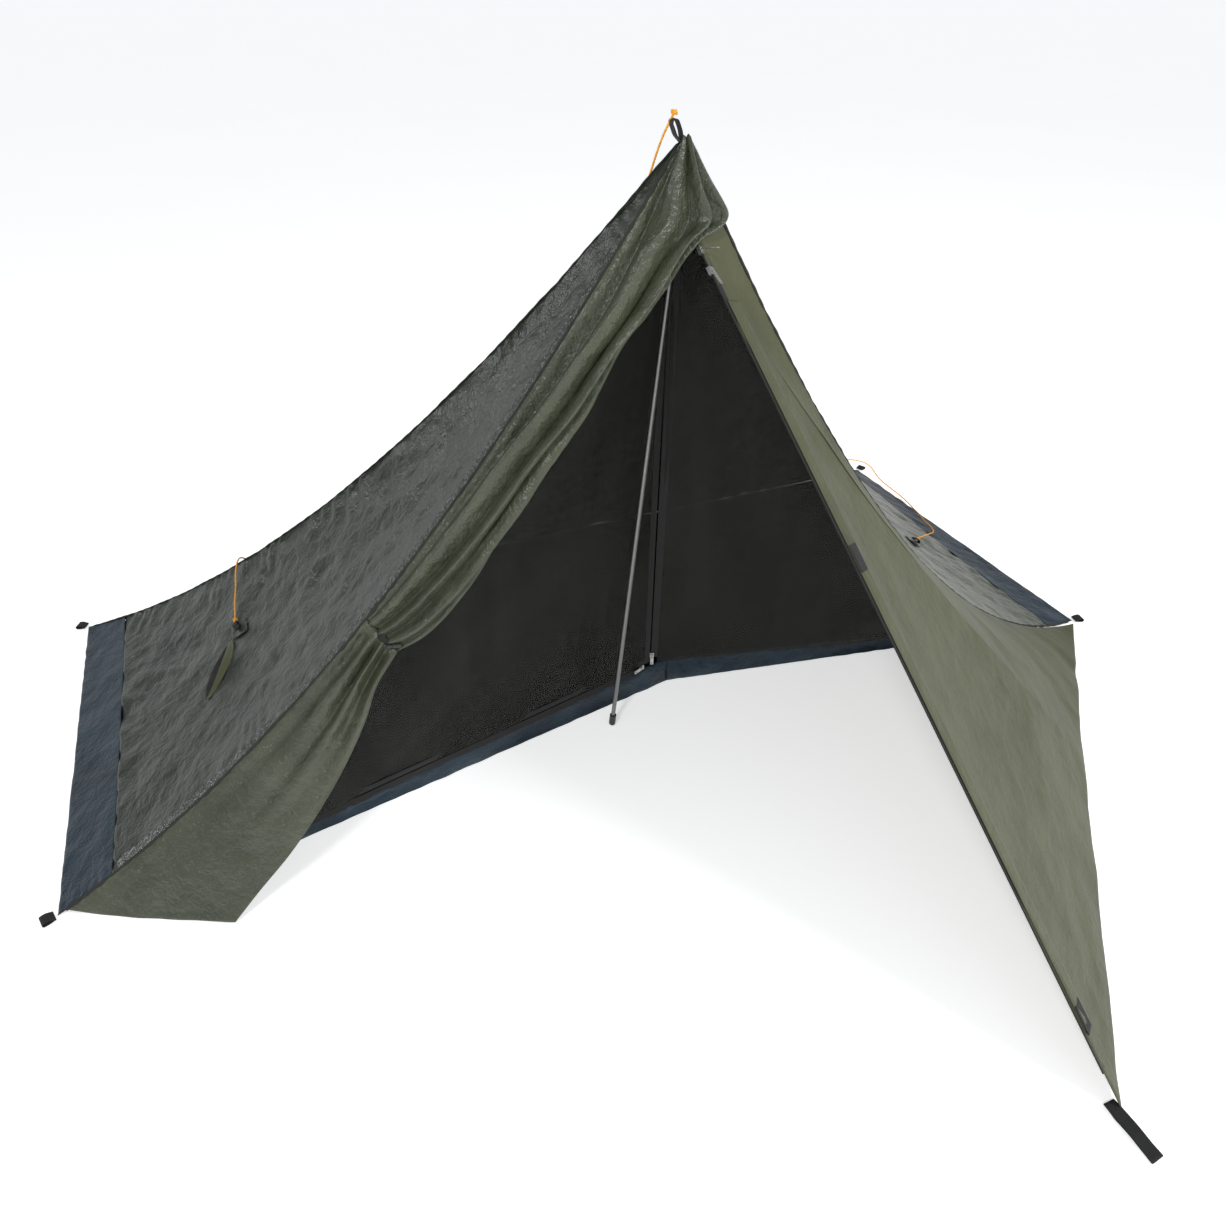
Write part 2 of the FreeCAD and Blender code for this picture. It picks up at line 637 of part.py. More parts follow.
# ---- right vestibule flap: a fixed part beside the wall and a staked corner that folds back -----------------
hem_right = bowed(CORNER_FRONT_RIGHT + Vector(0, -4, 3), STAKE, HEM_BOW)
FOLD_FOOT = hem_right(FOLD_SHARE)
flap_out = unit((FOLD_FOOT - ZIP_START).cross(STAKE - ZIP_START)) * -1
flap_lines = (ZIP_START, STAKE, FOLD_FOOT)
FOLD_GAP = 1.2
FLAP_SEAM_GAP = 7.0          # the flap meets its seam at a slant, so this is about 3 square to it


def hem_fixed(share):
    return hem_right(FOLD_SHARE * (1 - share))


def fixed_flap_at(share, side):
    """Down the fold line on one side and down the seam on the other, ending at the hem."""
    fold = between(ZIP_START, FOLD_FOOT, share)
    seam = right_seam(0.045 + (0.985 - 0.045) * share)
    ruled = between(fold, seam, side)
    straight_hem = between(FOLD_FOOT, right_seam(0.985), side)
    return ruled + (hem_fixed(side * 0.97) - straight_hem) * share ** 3


nodes["right_flap_fixed"] = sheet(panel(fixed_flap_at, 0.02, 1.0, FOLD_GAP, FLAP_SEAM_GAP, rows=8), CLOTH)

flap_edge = inside(flap_lines, (ZIP_TAPE + 0.6, 0.5, FOLD_GAP))
FLAP_TRIM = 60.0
STAKE_TRIM = 24.0
nodes["right_flap_corner"] = plate(
    [toward(flap_edge[0], flap_edge[1], FLAP_TRIM), toward(flap_edge[1], flap_edge[0], STAKE_TRIM),
     toward(flap_edge[1], flap_edge[2], STAKE_TRIM), flap_edge[2],
     toward(flap_edge[0], flap_edge[2], FLAP_TRIM)],
    CLOTH, flap_out,
)
OUTER_ZIP_TOP_GAP = 16.0
OUTER_ZIP_FOOT_GAP = 60.0
outer_tape, outer_frame = zip_strip(ZIP_START, STAKE, flap_out, OUTER_ZIP_TOP_GAP, OUTER_ZIP_FOOT_GAP)
nodes["outer_zip"] = outer_tape
outer_along, outer_across, outer_out = outer_frame
outer_length = (STAKE - ZIP_START).Length


def on_zip_edge(distance, across, lift):
    return ZIP_START + outer_along * distance + outer_across * across + outer_out * lift


def edge_plate(start, end, low, high, thickness, lift):
    """A flat rectangle beside the zip: from start to end along it, from low to high across."""
    outline = [
        on_zip_edge(start, low, 0), on_zip_edge(start, high, 0),
        on_zip_edge(end, high, 0), on_zip_edge(end, low, 0),
    ]
    return plate(outline, thickness, outer_out, lift)


STORM_START = 102.0
STORM_FOOT_GAP = 120.0
STORM_INSET = SLIDER_WIDTH / 2 + 0.8
storm_high = STORM_INSET + STORM_FLAP_WIDTH
storm_lift = CLOTH + LAYER_GAP
nodes["storm_flap"] = edge_plate(
    STORM_START, outer_length - STORM_FOOT_GAP, STORM_INSET, storm_high, CLOTH, storm_lift
)
patch_lift = storm_lift + CLOTH + LAYER_GAP
HOOK_LENGTH, HOOK_WIDTH, HOOK_THICKNESS = 42.0, 24.0, 1.6
UPPER_HOOK_AT, LOWER_HOOK_AT = 0.36, 0.885
HOOK_INSET = STORM_INSET + 1
HOOK_STARTS = [share * outer_length for share in (UPPER_HOOK_AT, LOWER_HOOK_AT)]
nodes["hook_patches"] = Part.makeCompound([
    edge_plate(at, at + HOOK_LENGTH, HOOK_INSET, HOOK_INSET + HOOK_WIDTH, HOOK_THICKNESS, patch_lift)
    for at in HOOK_STARTS
])
OUTER_UPPER_AT = 24.0
OUTER_LOWER_AT = OUTER_UPPER_AT + PULL_LENGTH + 8
zip_slider("outer_upper", ZIP_START, outer_frame, OUTER_UPPER_AT, 60.0)
zip_slider("outer_lower", ZIP_START, outer_frame, OUTER_LOWER_AT, 6.0)

along, across, out = frame_of(LEVEL_BACK * -1, UP)
stake_loop_at = Vector(STAKE.x, STAKE.y, 0) + along * LOOP_GAP
nodes["webbing_loop_stake"] = placed(webbing_loop(STAKE_LOOP_LENGTH), stake_loop_at, along, across, out)

# ---- peak front and the left flap, rolled back and tied --------------------------------------------------------
CAP_LIP = Vector(0, PEAK.y - CAP_FRONT, left_seam(PANEL_TOP).z - 6)
peak_front_at = hung(seam_part(left_seam, PANEL_TOP, 0.11), line(CAP_LIP, ZIP_START + Vector(-3, 0, 3)))
nodes["peak_front_panel"] = sheet(panel(peak_front_at, 0.08, 1.0, EDGE_GAP, 0.5, rows=4), CLOTH)

roll_out = LEVEL_BACK * -1
ROLL_START_SHARE = 0.115
TIE_SHARE = 0.475            # share of the left seam where the roll is tied
SKIRT_START = 0.04           # the skirt meets the seam this share below the tie


def roll_centre(share):
    """Beside the left seam, below and in front of it, down to the tie."""
    seam = left_seam(ROLL_START_SHARE + (TIE_SHARE - ROLL_START_SHARE) * share)
    beside = Vector(0.72, 0, -0.69) * (ROLL_WIDTH / 2 + 6)
    return seam + beside + Vector(0, -ROLL_DEPTH / 2 - 7, 0)


def roll_section(share):
    step = 0.01
    heading = unit(roll_centre(min(share + step, 1)) - roll_centre(max(share - step, 0)))
    side, _, _ = frame_of(heading.cross(roll_out), roll_out)
    full = math.sin(math.pi * (0.16 + 0.72 * share))
    ellipse = Part.Ellipse(Vector(0, 0, 0), ROLL_WIDTH / 2 * full, ROLL_DEPTH / 2 * (0.45 + 0.55 * full))
    wire = Part.Wire(ellipse.toShape())
    return placed(wire, roll_centre(share), side, unit(heading.cross(side)), heading)


nodes["left_flap_roll"] = Part.makeLoft([roll_section(k / 6) for k in range(7)], True, False)

neck = roll_centre(1.0)
skirt_edge = bowed(neck + SKIRT_NECK, CORNER_FRONT_LEFT + SKIRT_TIP, Vector(SKIRT_BULGE, -8, 6))
skirt_at = hung(skirt_edge, seam_part(left_seam, TIE_SHARE + SKIRT_START, 0.985))
nodes["left_flap_skirt"] = sheet(panel(skirt_at, 0.03, 1.0, 0.5, EDGE_GAP, rows=7), CLOTH)

neck_heading = unit(roll_centre(1.0) - roll_centre(0.97))
neck_side, _, _ = frame_of(neck_heading.cross(roll_out), roll_out)
TIE_BAND = 10.0
NECK_WIDTH = ROLL_WIDTH * 0.5
NECK_DEPTH = ROLL_DEPTH * 0.85


def neck_plate(width, depth, length):
    face = Part.Face(Part.Wire(Part.Ellipse(Vector(0, 0, 0), width / 2, depth / 2).toShape()))
    return face.extrude(Vector(0, 0, length))


tie = neck_plate(NECK_WIDTH + 2 * WEB_THICKNESS, NECK_DEPTH + 2 * WEB_THICKNESS, TIE_BAND)
tie = tie.cut(neck_plate(NECK_WIDTH, NECK_DEPTH, TIE_BAND))
tie_frame = (neck_side, unit(neck_heading.cross(neck_side)), neck_heading)
tie_base = neck + neck_heading * 0.6
nodes["left_flap_tie"] = placed(tie, tie_base, *tie_frame)

TOGGLE_RADIUS = 3.5
TOGGLE_LENGTH = 22.0
TOGGLE_GAP = 0.6
toggle_centre = tie_base + roll_out * (NECK_DEPTH / 2 + WEB_THICKNESS + TOGGLE_GAP + TOGGLE_RADIUS)
toggle_centre = toggle_centre + neck_heading * (TIE_BAND / 2)
toggle_along = unit(Vector(1, 0, -0.15))
toggle = Part.makeCylinder(TOGGLE_RADIUS, TOGGLE_LENGTH, Vector(0, 0, -TOGGLE_LENGTH / 3))
groove = Part.makeCylinder(TOGGLE_RADIUS + 1, 3, Vector(0, 0, -1.5))
toggle = toggle.cut(groove.cut(Part.makeCylinder(TOGGLE_RADIUS - 0.9, 3, Vector(0, 0, -1.5))))
toggle_up = unit(roll_out.cross(toggle_along))
nodes["tie_toggle"] = placed(toggle, toggle_centre, toggle_up, unit(toggle_along.cross(toggle_up)), toggle_along)
print("toggle pivot", toggle_centre)

# ---- pole: three tubes joined by ferrules, an elastic cord inside, a tip and a foot -----------------------------
FOOT_RADIUS = POLE_RADIUS + 2.5
FOOT_REST = CLOTH + 0.4
BORE = POLE_RADIUS - POLE_WALL
PLUG = BORE - FERRULE_GAP
PLUG_LENGTH = 15.0
FERRULE_WALL = 0.6
pole_length = (POLE_HEAD - POLE_TIP).Length
foot_z = (FOOT_RADIUS + FOOT_REST) / POLE_LINE.z
tube_start = foot_z
tube_end = pole_length - TOP_TIP_LENGTH
section_length = (tube_end - tube_start) / POLE_SECTIONS


def on_pole(shape):
    """Moves a shape that stands on Z to the pole's own line, Z = 0 at the ground."""
    return placed(shape, POLE_TIP, *pole_frame)


def rod(radius, start, end):
    return Part.makeCylinder(radius, end - start, Vector(0, 0, start))


def pipe(radius, bore, start, end):
    return on_pole(rod(radius, start, end).cut(rod(bore, start, end)))


joins = [tube_start + section_length * k for k in range(POLE_SECTIONS + 1)]
nodes["pole_sections"] = Part.makeCompound([
    pipe(POLE_RADIUS, BORE, low, high) for low, high in zip(joins, joins[1:])
])
nodes["pole_ferrules"] = Part.makeCompound([
    pipe(PLUG, PLUG - FERRULE_WALL, at - FERRULE_LENGTH / 2, at + FERRULE_LENGTH / 2) for at in joins[1:-1]
])

foot = Part.makeSphere(FOOT_RADIUS, Vector(0, 0, foot_z))
foot = foot.fuse(rod(FOOT_RADIUS, foot_z, foot_z + FOOT_CAP_LENGTH))
foot = foot.cut(rod(POLE_RADIUS + FERRULE_GAP, foot_z, foot_z + FOOT_CAP_LENGTH + 1))
foot = foot.fuse(rod(PLUG, foot_z, foot_z + PLUG_LENGTH)).removeSplitter()
nodes["pole_foot_cap"] = on_pole(foot)
tip = rod(POLE_RADIUS, tube_end, pole_length - POLE_RADIUS)
tip = tip.fuse(Part.makeSphere(POLE_RADIUS, Vector(0, 0, pole_length - POLE_RADIUS)))
tip = tip.fuse(rod(PLUG, tube_end - PLUG_LENGTH, tube_end)).removeSplitter()
nodes["pole_top_tip"] = on_pole(tip)
nodes["pole_shock_cord"] = on_pole(rod(SHOCK_CORD_RADIUS, foot_z + PLUG_LENGTH, tube_end - PLUG_LENGTH))
print("pole pivot", POLE_HEAD - POLE_LINE * POLE_RADIUS)

# ---- guylines: a cord tied to the peak loop and one to each side pull-out, each ending in a coil -------------
# The laid cords are given for a floor 2200 by 880 mm and a peak 1100 mm high, and spread with the tent.
CORD_SPREAD = Vector(FLOOR_LENGTH / 2200, FLOOR_DEPTH / 880, PEAK_HEIGHT / 1100)
PEAK_CORD = [
    Vector(-15, -438, 1127), Vector(-20, -434, 1115), Vector(-26, -425, 1096), Vector(-31, -412, 1066),
    Vector(-37, -396, 1025), Vector(-40, -374, 983), Vector(-46, -351, 940), Vector(-50, -327, 896),
    Vector(-57, -303, 854), Vector(-60, -277, 808), Vector(-66, -251, 764), Vector(-69, -224, 719),
    Vector(-76, -197, 676), Vector(-79, -169, 632), Vector(-87, -140, 588), Vector(-92, -110, 544),
    Vector(-101, -80, 501), Vector(-104, -50, 460), Vector(-112, -19, 419), Vector(-115, 12, 380),
    Vector(-123, 44, 342), Vector(-130, 77, 304), Vector(-139, 110, 268), Vector(-142, 145, 232),
    Vector(-149, 180, 199), Vector(-153, 216, 166), Vector(-163, 252, 135), Vector(-167, 290, 105),
    Vector(-177, 328, 78), Vector(-181, 367, 51), Vector(-191, 405, 28), Vector(-203, 440, 17),
    Vector(-222, 474, 5), Vector(-248, 497, 4),
]
PEAK_COIL_SIDE = Vector(11, 13, 0)       # coil's middle, from the end of the laid cord
LEFT_CORD = [
    Vector(-741, -37, 239), Vector(-739, -16, 243), Vector(-736, 18, 249), Vector(-729, 55, 260),
    Vector(-724, 90, 277), Vector(-714, 124, 286), Vector(-703, 158, 262), Vector(-694, 194, 219),
    Vector(-680, 230, 175), Vector(-668, 271, 137), Vector(-655, 311, 104), Vector(-640, 352, 72),
    Vector(-629, 396, 43), Vector(-613, 436, 19), Vector(-588, 471, 5), Vector(-560, 491, 4),
]
LEFT_COIL_SIDE = Vector(-10, 14, 0)
RIGHT_CORD = [
    Vector(855, -132, 118), Vector(873, -120, 112), Vector(900, -103, 99), Vector(935, -77, 81),
    Vector(972, -53, 64), Vector(1008, -27, 47), Vector(1031, 12, 38), Vector(1042, 56, 33),
    Vector(1066, 102, 23), Vector(1083, 150, 15), Vector(1102, 199, 7), Vector(1113, 252, 4),
    Vector(1116, 306, 3), Vector(1121, 360, 3), Vector(1134, 402, 3), Vector(1149, 441, 3),
    Vector(1149, 482, 3), Vector(1120, 513, 3), Vector(1076, 526, 3), Vector(1024, 522, 3),
    Vector(968, 529, 3), Vector(914, 522, 4),
]
RIGHT_COIL_SIDE = Vector(2, -17, 0)
COIL_SECTION = 5.5
ARC_SHARE = 0.45


def cord_tube(name, points):
    """Straight runs joined by tangent arcs, swept with the cord's round section."""
    runs = [(b - a).Length for a, b in zip(points, points[1:])]
    edges = []
    radii = []
    last = points[0]
    for k in range(1, len(points) - 1):
        back = unit(points[k - 1] - points[k])
        ahead = unit(points[k + 1] - points[k])
        cut = ARC_SHARE * min(runs[k - 1], runs[k])
        half_turn = (math.pi - back.getAngle(ahead)) / 2
        radius = cut / math.tan(half_turn)
        radii.append(radius)
        arc_start = points[k] + back * cut
        arc_end = points[k] + ahead * cut
        bisector = unit(back + ahead)
        arc_middle = points[k] + bisector * (radius / math.cos(half_turn) - radius)
        edges.append(Part.LineSegment(last, arc_start).toShape())
        edges.append(Part.Arc(arc_start, arc_middle, arc_end).toShape())
        last = arc_end
    edges.append(Part.LineSegment(last, points[-1]).toShape())
    path = Part.Wire(edges)
    ring = Part.Wire(Part.makeCircle(CORD / 2, points[0], points[1] - points[0]))
    tube = path.makePipeShell([ring], True, False)
    expected = math.pi * (CORD / 2) ** 2 * path.Length
    print("cord %-14s length %.0f  radii %.0f to %.0f  runs %.0f to %.0f  volume ratio %.4f" % (
        name, path.Length, min(radii), max(radii), min(runs), max(runs), tube.Volume / expected))
    return tube


for cord_name, laid, coil_side in (
    ("peak", PEAK_CORD, PEAK_COIL_SIDE), ("left", LEFT_CORD, LEFT_COIL_SIDE), ("right", RIGHT_CORD, RIGHT_COIL_SIDE)
):
    points = [Vector(p.x * CORD_SPREAD.x, p.y * CORD_SPREAD.y, p.z * CORD_SPREAD.z) for p in laid]
    nodes[cord_name + "_guyline"] = cord_tube(cord_name, points)
    coil_middle = Vector(points[-1].x, points[-1].y, COIL_SECTION) + coil_side
    nodes[cord_name + "_guyline_coil"] = Part.makeTorus(COIL_ACROSS / 2, COIL_SECTION, coil_middle)

# ---- one file for each piece -----------------------------------------------------------------------------------
os.makedirs("parts", exist_ok=True)
for node_name, solid in nodes.items():
    print("%-26s %12.1f mm3 %s" % (node_name, solid.Volume, "ok" if solid.isValid() else "INVALID"))
    solid.exportStep("parts/" + node_name + ".step")
print(len(nodes), "nodes")
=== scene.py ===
import math

import bmesh
import bpy
import numpy as np
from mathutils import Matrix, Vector


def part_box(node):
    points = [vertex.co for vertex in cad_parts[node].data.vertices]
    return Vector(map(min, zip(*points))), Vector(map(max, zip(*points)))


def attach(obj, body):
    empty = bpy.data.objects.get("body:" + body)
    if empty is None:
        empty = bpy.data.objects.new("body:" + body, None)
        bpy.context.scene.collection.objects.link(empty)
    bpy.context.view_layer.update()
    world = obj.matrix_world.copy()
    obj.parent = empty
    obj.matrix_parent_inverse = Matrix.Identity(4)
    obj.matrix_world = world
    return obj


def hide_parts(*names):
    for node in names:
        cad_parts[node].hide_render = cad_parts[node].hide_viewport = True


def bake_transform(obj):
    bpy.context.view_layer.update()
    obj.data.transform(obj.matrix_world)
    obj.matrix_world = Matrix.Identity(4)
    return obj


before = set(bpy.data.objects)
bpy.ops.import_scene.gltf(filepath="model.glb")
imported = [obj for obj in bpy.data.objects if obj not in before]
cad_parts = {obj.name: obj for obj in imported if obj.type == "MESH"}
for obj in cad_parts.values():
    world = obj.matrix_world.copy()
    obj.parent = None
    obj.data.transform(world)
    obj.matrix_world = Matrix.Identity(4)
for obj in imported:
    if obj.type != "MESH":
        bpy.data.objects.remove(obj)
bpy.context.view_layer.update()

# Metres. The origin is the middle of the floor on the ground, +X right along the front, +Y to the back wall.

# ---- sizes shared with the CAD model -----------------------------------------------------------
HALF_LENGTH = 1.1
FRONT_Y = -0.44
BACK_Y = 0.44
PEAK = np.array([0.0, FRONT_Y, 1.1])
GROUND = 0.0008
CORNER_A = np.array([-HALF_LENGTH, FRONT_Y, GROUND])
CORNER_D = np.array([HALF_LENGTH, FRONT_Y, GROUND])
CORNER_B = np.array([-HALF_LENGTH, BACK_Y, GROUND])
CORNER_C = np.array([HALF_LENGTH, BACK_Y, GROUND])
LEFT_SAG, RIGHT_SAG, HIP_SAG = 0.1298, 0.235, 0.1298
SEAM_FORWARD = 0.2
WALL_BELLY, BACK_BELLY = 0.022, 0.0341
BAND_SHARE = 1 - 0.1 / HALF_LENGTH
STAKE = np.array([0.273, FRONT_Y - 0.912, 0.004])
ZIP_START = np.array([0.007, FRONT_Y - 0.025, 0.978])
FOLD_SHARE = 0.45
HEM_BOW = np.array([-0.03, 0.0, 0.045])
SILL_LEAN = 0.14
SILL_CORNER = np.array([0.095, FRONT_Y + 0.17, GROUND])
SILL_LEFT = CORNER_A + np.array([0.07, 0.012, 0])
SILL_RIGHT = CORNER_D + np.array([-0.118, 0.012, 0])
SILL_BEND = np.array([-0.76, FRONT_Y + 0.003, GROUND])
SILL_HEIGHT_CORNER, SILL_HEIGHT_BEND, SILL_HEIGHT_LEFT, SILL_HEIGHT_RIGHT = 0.058, 0.027, 0.022, 0.017
MESH_START = np.array([0.002, FRONT_Y + 0.026, 0.945])
CLOTH = 0.0006
THIN_CLOTH = 0.0004
FLOOR_INSET = 0.004
STORM_START, STORM_FOOT_GAP, STORM_WIDTH = 0.102, 0.12, 0.034
FLAP_END = 0.997


# ---- small maths -------------------------------------------------------------------------------
def unit(v):
    return v / np.linalg.norm(v, axis=-1, keepdims=True)


def mix(a, b, t):
    t = np.asarray(t, float)[..., None]
    return a * (1 - t) + b * t


def smooth(t):
    t = np.clip(t, 0, 1)
    return t * t * (3 - 2 * t)


def through(points, t):
    """A smooth line through a few points, as a function of its share t."""
    p = np.asarray(points, float)
    step = np.concatenate([[0], np.cumsum(np.linalg.norm(np.diff(p, axis=0), axis=1))])
    step /= step[-1]
    slopes = np.gradient(p, step, axis=0)
    t = np.clip(np.asarray(t, float), 0, 1)
    k = np.clip(np.searchsorted(step, t, side="right") - 1, 0, len(p) - 2)
    h = (step[k + 1] - step[k])[..., None]
    x = ((t - step[k]) / (step[k + 1] - step[k]))[..., None]
    a = p[k] * (1 + 2 * x) * (1 - x) ** 2 + p[k + 1] * x * x * (3 - 2 * x)
    return a + slopes[k] * h * x * (1 - x) ** 2 + slopes[k + 1] * h * x * x * (x - 1)


def value_noise(x, y, seed):
    """Smooth noise from -1 to 1 with a cell of one unit."""
    table = np.random.RandomState(seed).uniform(-1, 1, (64, 64))
    xi, yi = np.floor(x).astype(int), np.floor(y).astype(int)
    fx, fy = smooth(x - xi), smooth(y - yi)
    a, b = table[xi % 64, yi % 64], table[(xi + 1) % 64, yi % 64]
    c, d = table[xi % 64, (yi + 1) % 64], table[(xi + 1) % 64, (yi + 1) % 64]
    return (a * (1 - fx) + b * fx) * (1 - fy) + (c * (1 - fx) + d * fx) * fy


def crumple(x, y, seed, wave, count=12, heading=None, spread=math.pi):
    """Sharp creases in many directions, each kept to its own patches: height from about -1 to 1."""
    random = np.random.RandomState(seed)
    height = np.zeros_like(x)
    for k in range(count):
        angle = random.uniform(-0.5, 0.5) * spread + (heading if heading is not None else 0)
        length = wave * random.uniform(0.6, 1.7)
        bend = value_noise(x / (wave * 4), y / (wave * 4), seed + 31 * k) * 0.7
        phase = (x * math.cos(angle) + y * math.sin(angle)) / length + bend + random.uniform(0, 1)
        ridge = np.abs((phase % 1) - 0.5) * 4 - 1
        patch = value_noise(x / (wave * 2.2) + 9 * k, y / (wave * 2.2) - 5 * k, seed + 7 * k)
        height += ridge * np.clip(patch, 0, 1) * (length / wave)
    return height / math.sqrt(count)


# ---- seam lines --------------------------------------------------------------------------------
def hanging(corner, t, sag, forward=0.0):
    t = np.asarray(t, float)
    drop = sag * 4 * t * (1 - t)
    p = mix(PEAK, corner, t)
    p[..., 1] -= forward * drop
    p[..., 2] -= drop
    return p


def left_seam(t):
    return hanging(CORNER_A, t, LEFT_SAG)


def right_seam(t):
    return hanging(CORNER_D, t, RIGHT_SAG, SEAM_FORWARD)


def left_hip(t):
    return hanging(CORNER_B, t, HIP_SAG)


def right_hip(t):
    return hanging(CORNER_C, t, HIP_SAG)


def hung(left, right, belly=0.0):
    def point(u, v):
        p = mix(left(u), right(u), v)
        p[..., 2] -= belly * 4 * v * (1 - v) * np.sin(math.pi * u)
        return p
    return point


def line(a, b):
    return lambda t: mix(np.asarray(a, float), np.asarray(b, float), t)


def shares(rows, columns, start=0.0, end=1.0, low=0.0, high=1.0):
    return np.meshgrid(np.linspace(start, end, rows), np.linspace(low, high, columns), indexing="ij")


# ---- meshes from grids -------------------------------------------------------------------------
def grid_normals(p):
    down = np.gradient(p, axis=0)
    across = np.gradient(p, axis=1)
    return unit(np.cross(down, across) + 1e-12)


def lengths(p):
    """Distances along the grid: across each row, and down each column, for patterns in real metres."""
    across = np.concatenate(
        [np.zeros((len(p), 1)), np.cumsum(np.linalg.norm(np.diff(p, axis=1), axis=2), axis=1)], axis=1)
    down = np.concatenate(
        [np.zeros((1, p.shape[1])), np.cumsum(np.linalg.norm(np.diff(p, axis=0), axis=2), axis=0)], axis=0)
    return across, down


def grid_object(name, p, closed=False):
    rows, columns = p.shape[:2]
    faces = []
    for i in range(rows - 1):
        for j in range(columns - 1 + (1 if closed else 0)):
            k = (j + 1) % columns
            faces.append((i * columns + j, (i + 1) * columns + j, (i + 1) * columns + k, i * columns + k))
    mesh = bpy.data.meshes.new(name)
    mesh.from_pydata([tuple(v) for v in p.reshape(-1, 3)], [], faces)
    mesh.update()
    mesh.polygons.foreach_set("use_smooth", [True] * len(mesh.polygons))
    piece = bpy.data.objects.new(name, mesh)
    bpy.context.scene.collection.objects.link(piece)
    return piece


def thicken(piece, thickness):
    modifier = piece.modifiers.new("thickness", "SOLIDIFY")
    modifier.thickness = thickness
    modifier.offset = 0
    bpy.context.view_layer.update()
    evaluated = piece.evaluated_get(bpy.context.evaluated_depsgraph_get())
    piece.data = bpy.data.meshes.new_from_object(evaluated)
    piece.modifiers.clear()
    return piece


def dress(piece, material, slot, body, *stands_for):
    piece.data.materials.clear()
    piece.data.materials.append(material)
    if body:
        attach(piece, body)
    if stands_for:
        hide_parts(*stands_for)
    return piece


def cloth(name, p, lift, material, slot, body, stands_for, thickness=CLOTH):
    """A sheet of cloth on a grid of points, moved off it by lift and thickened.
    """
    shape = p + grid_normals(p) * lift[..., None]
    shape[..., 2] = np.maximum(shape[..., 2], thickness * 0.6)
    piece = thicken(grid_object(name, shape), thickness)
    dress(piece, material, slot, body, *stands_for)
    return piece


# ---- materials ---------------------------------------------------------------------------------
def new_material(name):
    material = bpy.data.materials.new(name)
    material.use_nodes = True
    nodes = material.node_tree.nodes
    nodes.clear()
    output = nodes.new("ShaderNodeOutputMaterial")
    shader = nodes.new("ShaderNodeBsdfPrincipled")
    material.node_tree.links.new(shader.outputs[0], output.inputs[0])
    return material, material.node_tree, shader


def texture(tree, kind, scale, **values):
    """A texture on the piece's own coordinates, in cells per metre."""
    place = tree.nodes.new("ShaderNodeTexCoord")
    node = tree.nodes.new(kind)
    tree.links.new(place.outputs["Object"], node.inputs["Vector"])
    node.inputs["Scale"].default_value = scale
    for key, value in values.items():
        if hasattr(node, key):
            setattr(node, key, value)
        else:
            node.inputs[key].default_value = value
    return node


def ramp(tree, source, stops):
    node = tree.nodes.new("ShaderNodeValToRGB")
    tree.links.new(source, node.inputs[0])
    elements = node.color_ramp.elements
    while len(elements) < len(stops):
        elements.new(0.5)
    for element, (position, colour) in zip(elements, stops):
        element.position = position
        element.color = (*colour, 1) if len(colour) == 3 else (colour[0],) * 3 + (1,)
    return node.outputs[0]


def bump(tree, shader, layers):
    """Chains bump layers, given as (height output, strength, distance), onto the shader's normal."""
    last = None
    for height, strength, distance in layers:
        node = tree.nodes.new("ShaderNodeBump")
        node.inputs["Strength"].default_value = strength
        node.inputs["Distance"].default_value = distance
        tree.links.new(height, node.inputs["Height"])
        if last:
            tree.links.new(last, node.inputs["Normal"])
        last = node.outputs[0]
    tree.links.new(last, shader.inputs["Normal"])


def warped(tree, size, amount):
    """The piece's own coordinates, pushed about by noise so that creases wander."""
    place = tree.nodes.new("ShaderNodeTexCoord")
    noise = tree.nodes.new("ShaderNodeTexNoise")
    noise.inputs["Scale"].default_value = size
    noise.inputs["Detail"].default_value = 3.0
    tree.links.new(place.outputs["Object"], noise.inputs["Vector"])
    moved = tree.nodes.new("ShaderNodeVectorMath")
    moved.operation = "MULTIPLY_ADD"
    moved.inputs[1].default_value = (amount,) * 3
    tree.links.new(noise.outputs["Color"], moved.inputs[0])
    tree.links.new(place.outputs["Object"], moved.inputs[2])
    return moved.outputs[0]


def crease_lines(tree, vector, scale, width):
    """Thin raised lines along the borders of random cells: 1 on a crease, 0 between."""
    cells = tree.nodes.new("ShaderNodeTexVoronoi")
    cells.feature = "DISTANCE_TO_EDGE"
    cells.inputs["Scale"].default_value = scale
    tree.links.new(vector, cells.inputs["Vector"])
    return ramp(tree, cells.outputs["Distance"], [(0.0, (1.0,)), (width, (0.25,)), (width * 3.5, (0.0,))])


